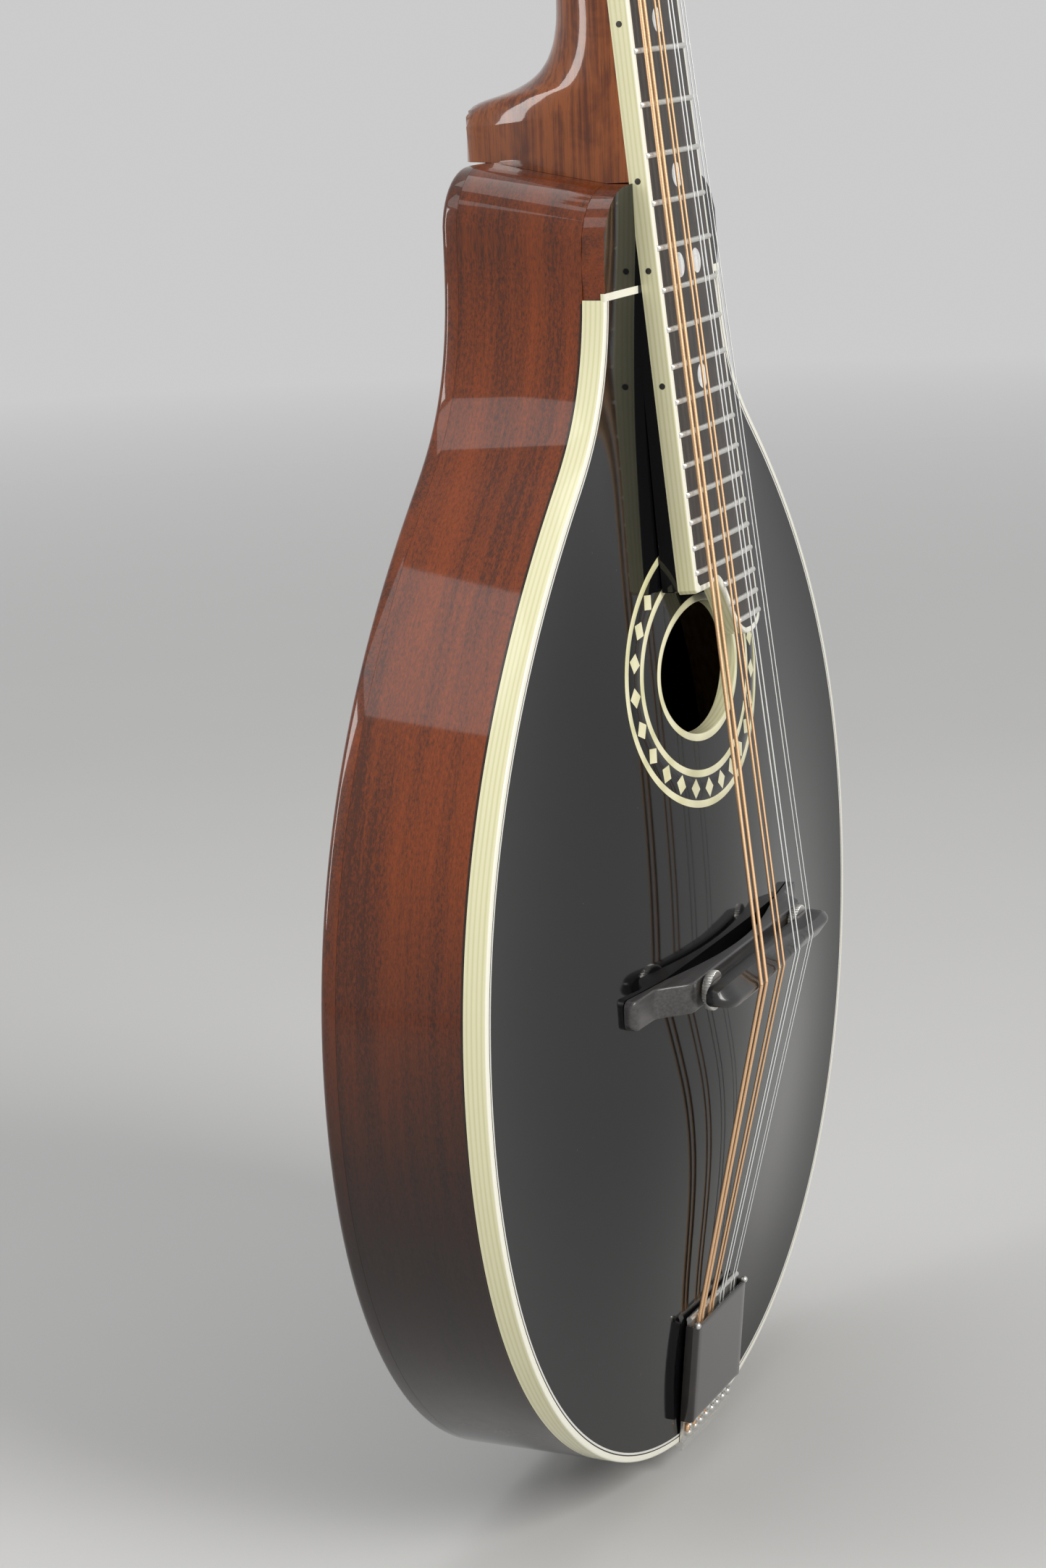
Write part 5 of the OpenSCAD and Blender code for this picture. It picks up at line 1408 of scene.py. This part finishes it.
class MANDOLIN_OT_strings(bpy.types.Operator):
    """Make the paired strings, from their hooks over the saddle and the nut to their posts"""

    bl_idname = "mandolin.strings"
    bl_label = "Strings"

    def execute(self, context):
        lay = Layout(context.scene)
        for name, finish, courses in (("wound", "bronze_wire", (0, 1)), ("plain", "steel_wire", (2, 3))):
            neck, tail = [], []
            for c in courses:
                for s in (-1, 1):
                    neck.append(tube(self.neck_route(lay, c, s), lay.string_radius[c]))
                    tail.append(tube(self.tail_route(lay, c, s), lay.string_radius[c]))
            node = f"strings_{name}"
            nut = lay.place @ lay.nut_point(1, 0, 0)
            saddle = lay.place @ lay.saddle_point(1, 0)
            top = publish(join(neck), node + "_neck", finish, None, [node], lay.place, sharp=60)
            low = publish(join(tail), node + "_tail", finish, None, [node], lay.place, sharp=60)
            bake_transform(top)
            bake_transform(low)
        return {"FINISHED"}

    @staticmethod
    def tail_x(c, s, lay):
        return lay.course[c] * 12.5 + s * 1.2

    def lip(self, lay, c, s):
        r = lay.string_radius[c]
        return lay.tail_in_body @ Vector((self.tail_x(c, s, lay), 0.2 - 1.6 - r - 0.03,
                                          lay.cover_length + 1.5))

    def tail_route(self, lay, c, s):
        r = lay.string_radius[c]
        turn = 0.55 + r + 0.04
        x = self.tail_x(c, s, lay) + s * turn
        hook = [lay.tail_in_body @ Vector((x + s * turn * math.cos(a), -0.85 - r - 0.05,
                                           5 + turn * math.sin(a)))
                for a in np.linspace(math.radians(70), math.radians(-180), 16)]
        lip, saddle = self.lip(lay, c, s), lay.saddle_point(c, s)
        start = hook[-1]
        under = [start.lerp(lip, t) for t in (0.1, 0.4, 0.7, 0.97)]
        over = [lip.lerp(saddle, t) for t in np.linspace(0.02, 1, 12)]
        return hook + under + [lip] + over

    def neck_route(self, lay, c, s):
        r = lay.string_radius[c]
        saddle, low, high = lay.saddle_point(c, s), lay.nut_point(c, s, 0), lay.nut_point(c, s, lay.nut_t)
        n = 2 * c + (2 if s > 0 else 1) if c < 2 else 2 * (3 - c) + (5 if s > 0 else 6)
        k = lay.post_side(n)
        turn = lay.tuner_radius + r + 0.05
        wraps = [lay.head_in_body @ Vector((k * (25 - turn * math.cos(a)),
                                            -lay.veneer - 5.5 + 2.06 * r * a / math.tau,
                                            lay.post_z(n) + turn * math.sin(a))) for a in np.linspace(0,
                                                    2.5 * math.tau, 61)]
        return [saddle.lerp(low, t) for t in np.linspace(0, 1, 40)] + [high] + wraps


# ---------------------------------------------------------------- stage


class MANDOLIN_OT_stage(bpy.types.Operator):
    """Set the floor, the light and the camera"""

    bl_idname = "mandolin.stage"
    bl_label = "Stage"

    def execute(self, context):
        scene = context.scene
        self.floor(scene)
        self.world(scene)
        self.lamps(scene)
        self.camera(scene)
        scene.view_settings.view_transform = "Standard"
        return {"FINISHED"}

    def floor(self, scene):
        """A pale floor that fades into the studio far from the mandolin."""
        f = Finish("floor", Roughness=0.8, Specular_IOR_Level=0.1)
        spot = f.spot()
        mottle = f.noise(spot, 0.01, 2)
        c = tuple(scene.mandolin_colours.floor)
        f.set(Base_Color=f.blend(mottle, c, tuple(v * 0.97 for v in c)))
        x, y = f.part(spot, "X"), f.part(spot, "Y")
        far = ((((x * x + y * y) ** 0.5) - 900) / 1600).clamp()
        clear = f.tree.nodes.new("ShaderNodeBsdfTransparent")
        mix = f.tree.nodes.new("ShaderNodeMixShader")
        f._feed(mix.inputs[0], far)
        f.tree.links.new(f.surface.outputs[0], mix.inputs[1])
        f.tree.links.new(clear.outputs[0], mix.inputs[2])
        out = next(n for n in f.tree.nodes if n.type == "OUTPUT_MATERIAL")
        f.tree.links.new(mix.outputs[0], out.inputs[0])
        bm = bmesh.new()
        bmesh.ops.create_grid(bm, x_segments=4, y_segments=4, size=3.0)
        self.prop(bm, "floor", f.material)

    @staticmethod
    def prop(bm, name, material):
        mesh = bpy.data.meshes.new(name)
        bm.to_mesh(mesh)
        bm.free()
        mesh.materials.append(material)
        made = bpy.data.objects.new(name, mesh)
        bpy.context.scene.collection.objects.link(made)
        return made

    def world(self, scene):
        world = bpy.data.worlds.new("studio")
        scene.world = world
        world.use_nodes = True
        tree = world.node_tree
        path = tree.nodes.new("ShaderNodeLightPath")
        seen = tree.nodes.new("ShaderNodeMath")
        seen.operation = "ADD"
        tree.links.new(path.outputs["Is Camera Ray"], seen.inputs[0])
        also = tree.nodes.new("ShaderNodeMath")
        also.operation = "ADD"
        tree.links.new(path.outputs["Is Glossy Ray"], also.inputs[0])
        tree.links.new(path.outputs["Is Transmission Ray"], also.inputs[1])
        tree.links.new(also.outputs[0], seen.inputs[1])
        mix = tree.nodes.new("ShaderNodeMix")
        mix.data_type = "RGBA"
        tree.links.new(seen.outputs[0], mix.inputs[0])
        mix.inputs[6].default_value = (0.36, 0.36, 0.37, 1)
        mix.inputs[7].default_value = (0.60, 0.60, 0.60, 1)
        tree.links.new(mix.outputs[2], tree.nodes["Background"].inputs[0])

    def lamps(self, scene):
        for name, place, aim, size, power, tint in (
            ("key", (-0.62, -1.75, 1.30), (0, 0, 0.30), (0.9, 0.9), 34, (1.0, 0.98, 0.95)),
            ("strip", (-0.95, 1.15, 0.80), (0, 0, 0.35), (0.30, 1.0), 8, (1.0, 0.99, 0.97)),
            ("window", (-0.656, 0.605, 1.284), (-0.12, 0.01, 0.26), (0.5, 0.42), 1.0, (0.95, 0.97, 1.0)),
            ("top", (0.2, 0.2, 2.2), (0, 0, 0.3), (1.4, 1.4), 9, (1.0, 1.0, 1.0)),
        ):
            data = bpy.data.lights.new(name, "AREA")
            data.shape, data.size, data.size_y = "RECTANGLE", size[0], size[1]
            data.energy, data.color = power, tint
            lamp = bpy.data.objects.new(name, data)
            lamp.location = place
            lamp.rotation_euler = (Vector(aim) - Vector(place)).to_track_quat("-Z", "Y").to_euler()
            scene.collection.objects.link(lamp)

    def camera(self, scene):
        data = bpy.data.cameras.new("camera")
        data.sensor_width, data.lens, data.clip_start = 36, 80.23, 0.05
        camera = bpy.data.objects.new("camera", data)
        right = Vector((0.4096, -0.9112, -0.0440))
        down = Vector((-0.2315, -0.0572, -0.9711))
        ahead = Vector((0.8824, 0.4079, -0.2344))
        turn = Matrix((right, -down, -ahead)).transposed().to_4x4()
        camera.matrix_world = Matrix.Translation((-0.8306, -0.3612, 0.4085)) @ turn
        scene.collection.objects.link(camera)
        scene.camera = camera


# ---------------------------------------------------------------- panel and registration


STEPS = (
    MANDOLIN_OT_front,
    MANDOLIN_OT_back,
    MANDOLIN_OT_rim,
    MANDOLIN_OT_bindings,
    MANDOLIN_OT_rosette,
    MANDOLIN_OT_neck,
    MANDOLIN_OT_fingerboard,
    MANDOLIN_OT_bridge,
    MANDOLIN_OT_tail,
    MANDOLIN_OT_tuners,
    MANDOLIN_OT_strings,
    MANDOLIN_OT_stage,
)
GROUPS = {
    "mandolin_body": MandolinBodySizes,
    "mandolin_neck": MandolinNeckSizes,
    "mandolin_fittings": MandolinFittingSizes,
    "mandolin_colours": MandolinColours,
}


class MANDOLIN_PT_panel(bpy.types.Panel):
    """Lists the mandolin's sizes and pieces"""

    bl_label = "Mandolin"
    bl_idname = "MANDOLIN_PT_panel"
    bl_space_type = "VIEW_3D"
    bl_region_type = "UI"
    bl_category = "Mandolin"

    def draw(self, context):
        for name in GROUPS:
            box = self.layout.box()
            group = getattr(context.scene, name)
            for key in group.__annotations__:
                box.prop(group, key)
        for step in STEPS:
            self.layout.operator(step.bl_idname)


CLASSES = (*GROUPS.values(), *STEPS, MANDOLIN_PT_panel)


def register():
    for cls in CLASSES:
        bpy.utils.register_class(cls)
    for name, group in GROUPS.items():
        setattr(bpy.types.Scene, name, PointerProperty(type=group))


def unregister():
    for name in GROUPS:
        delattr(bpy.types.Scene, name)
    for cls in reversed(CLASSES):
        bpy.utils.unregister_class(cls)


def main():
    register()
    make_finishes(bpy.context.scene)
    for step in STEPS:
        group, name = step.bl_idname.split(".")
        getattr(getattr(bpy.ops, group), name)()


if __name__ == "__main__":
    main()
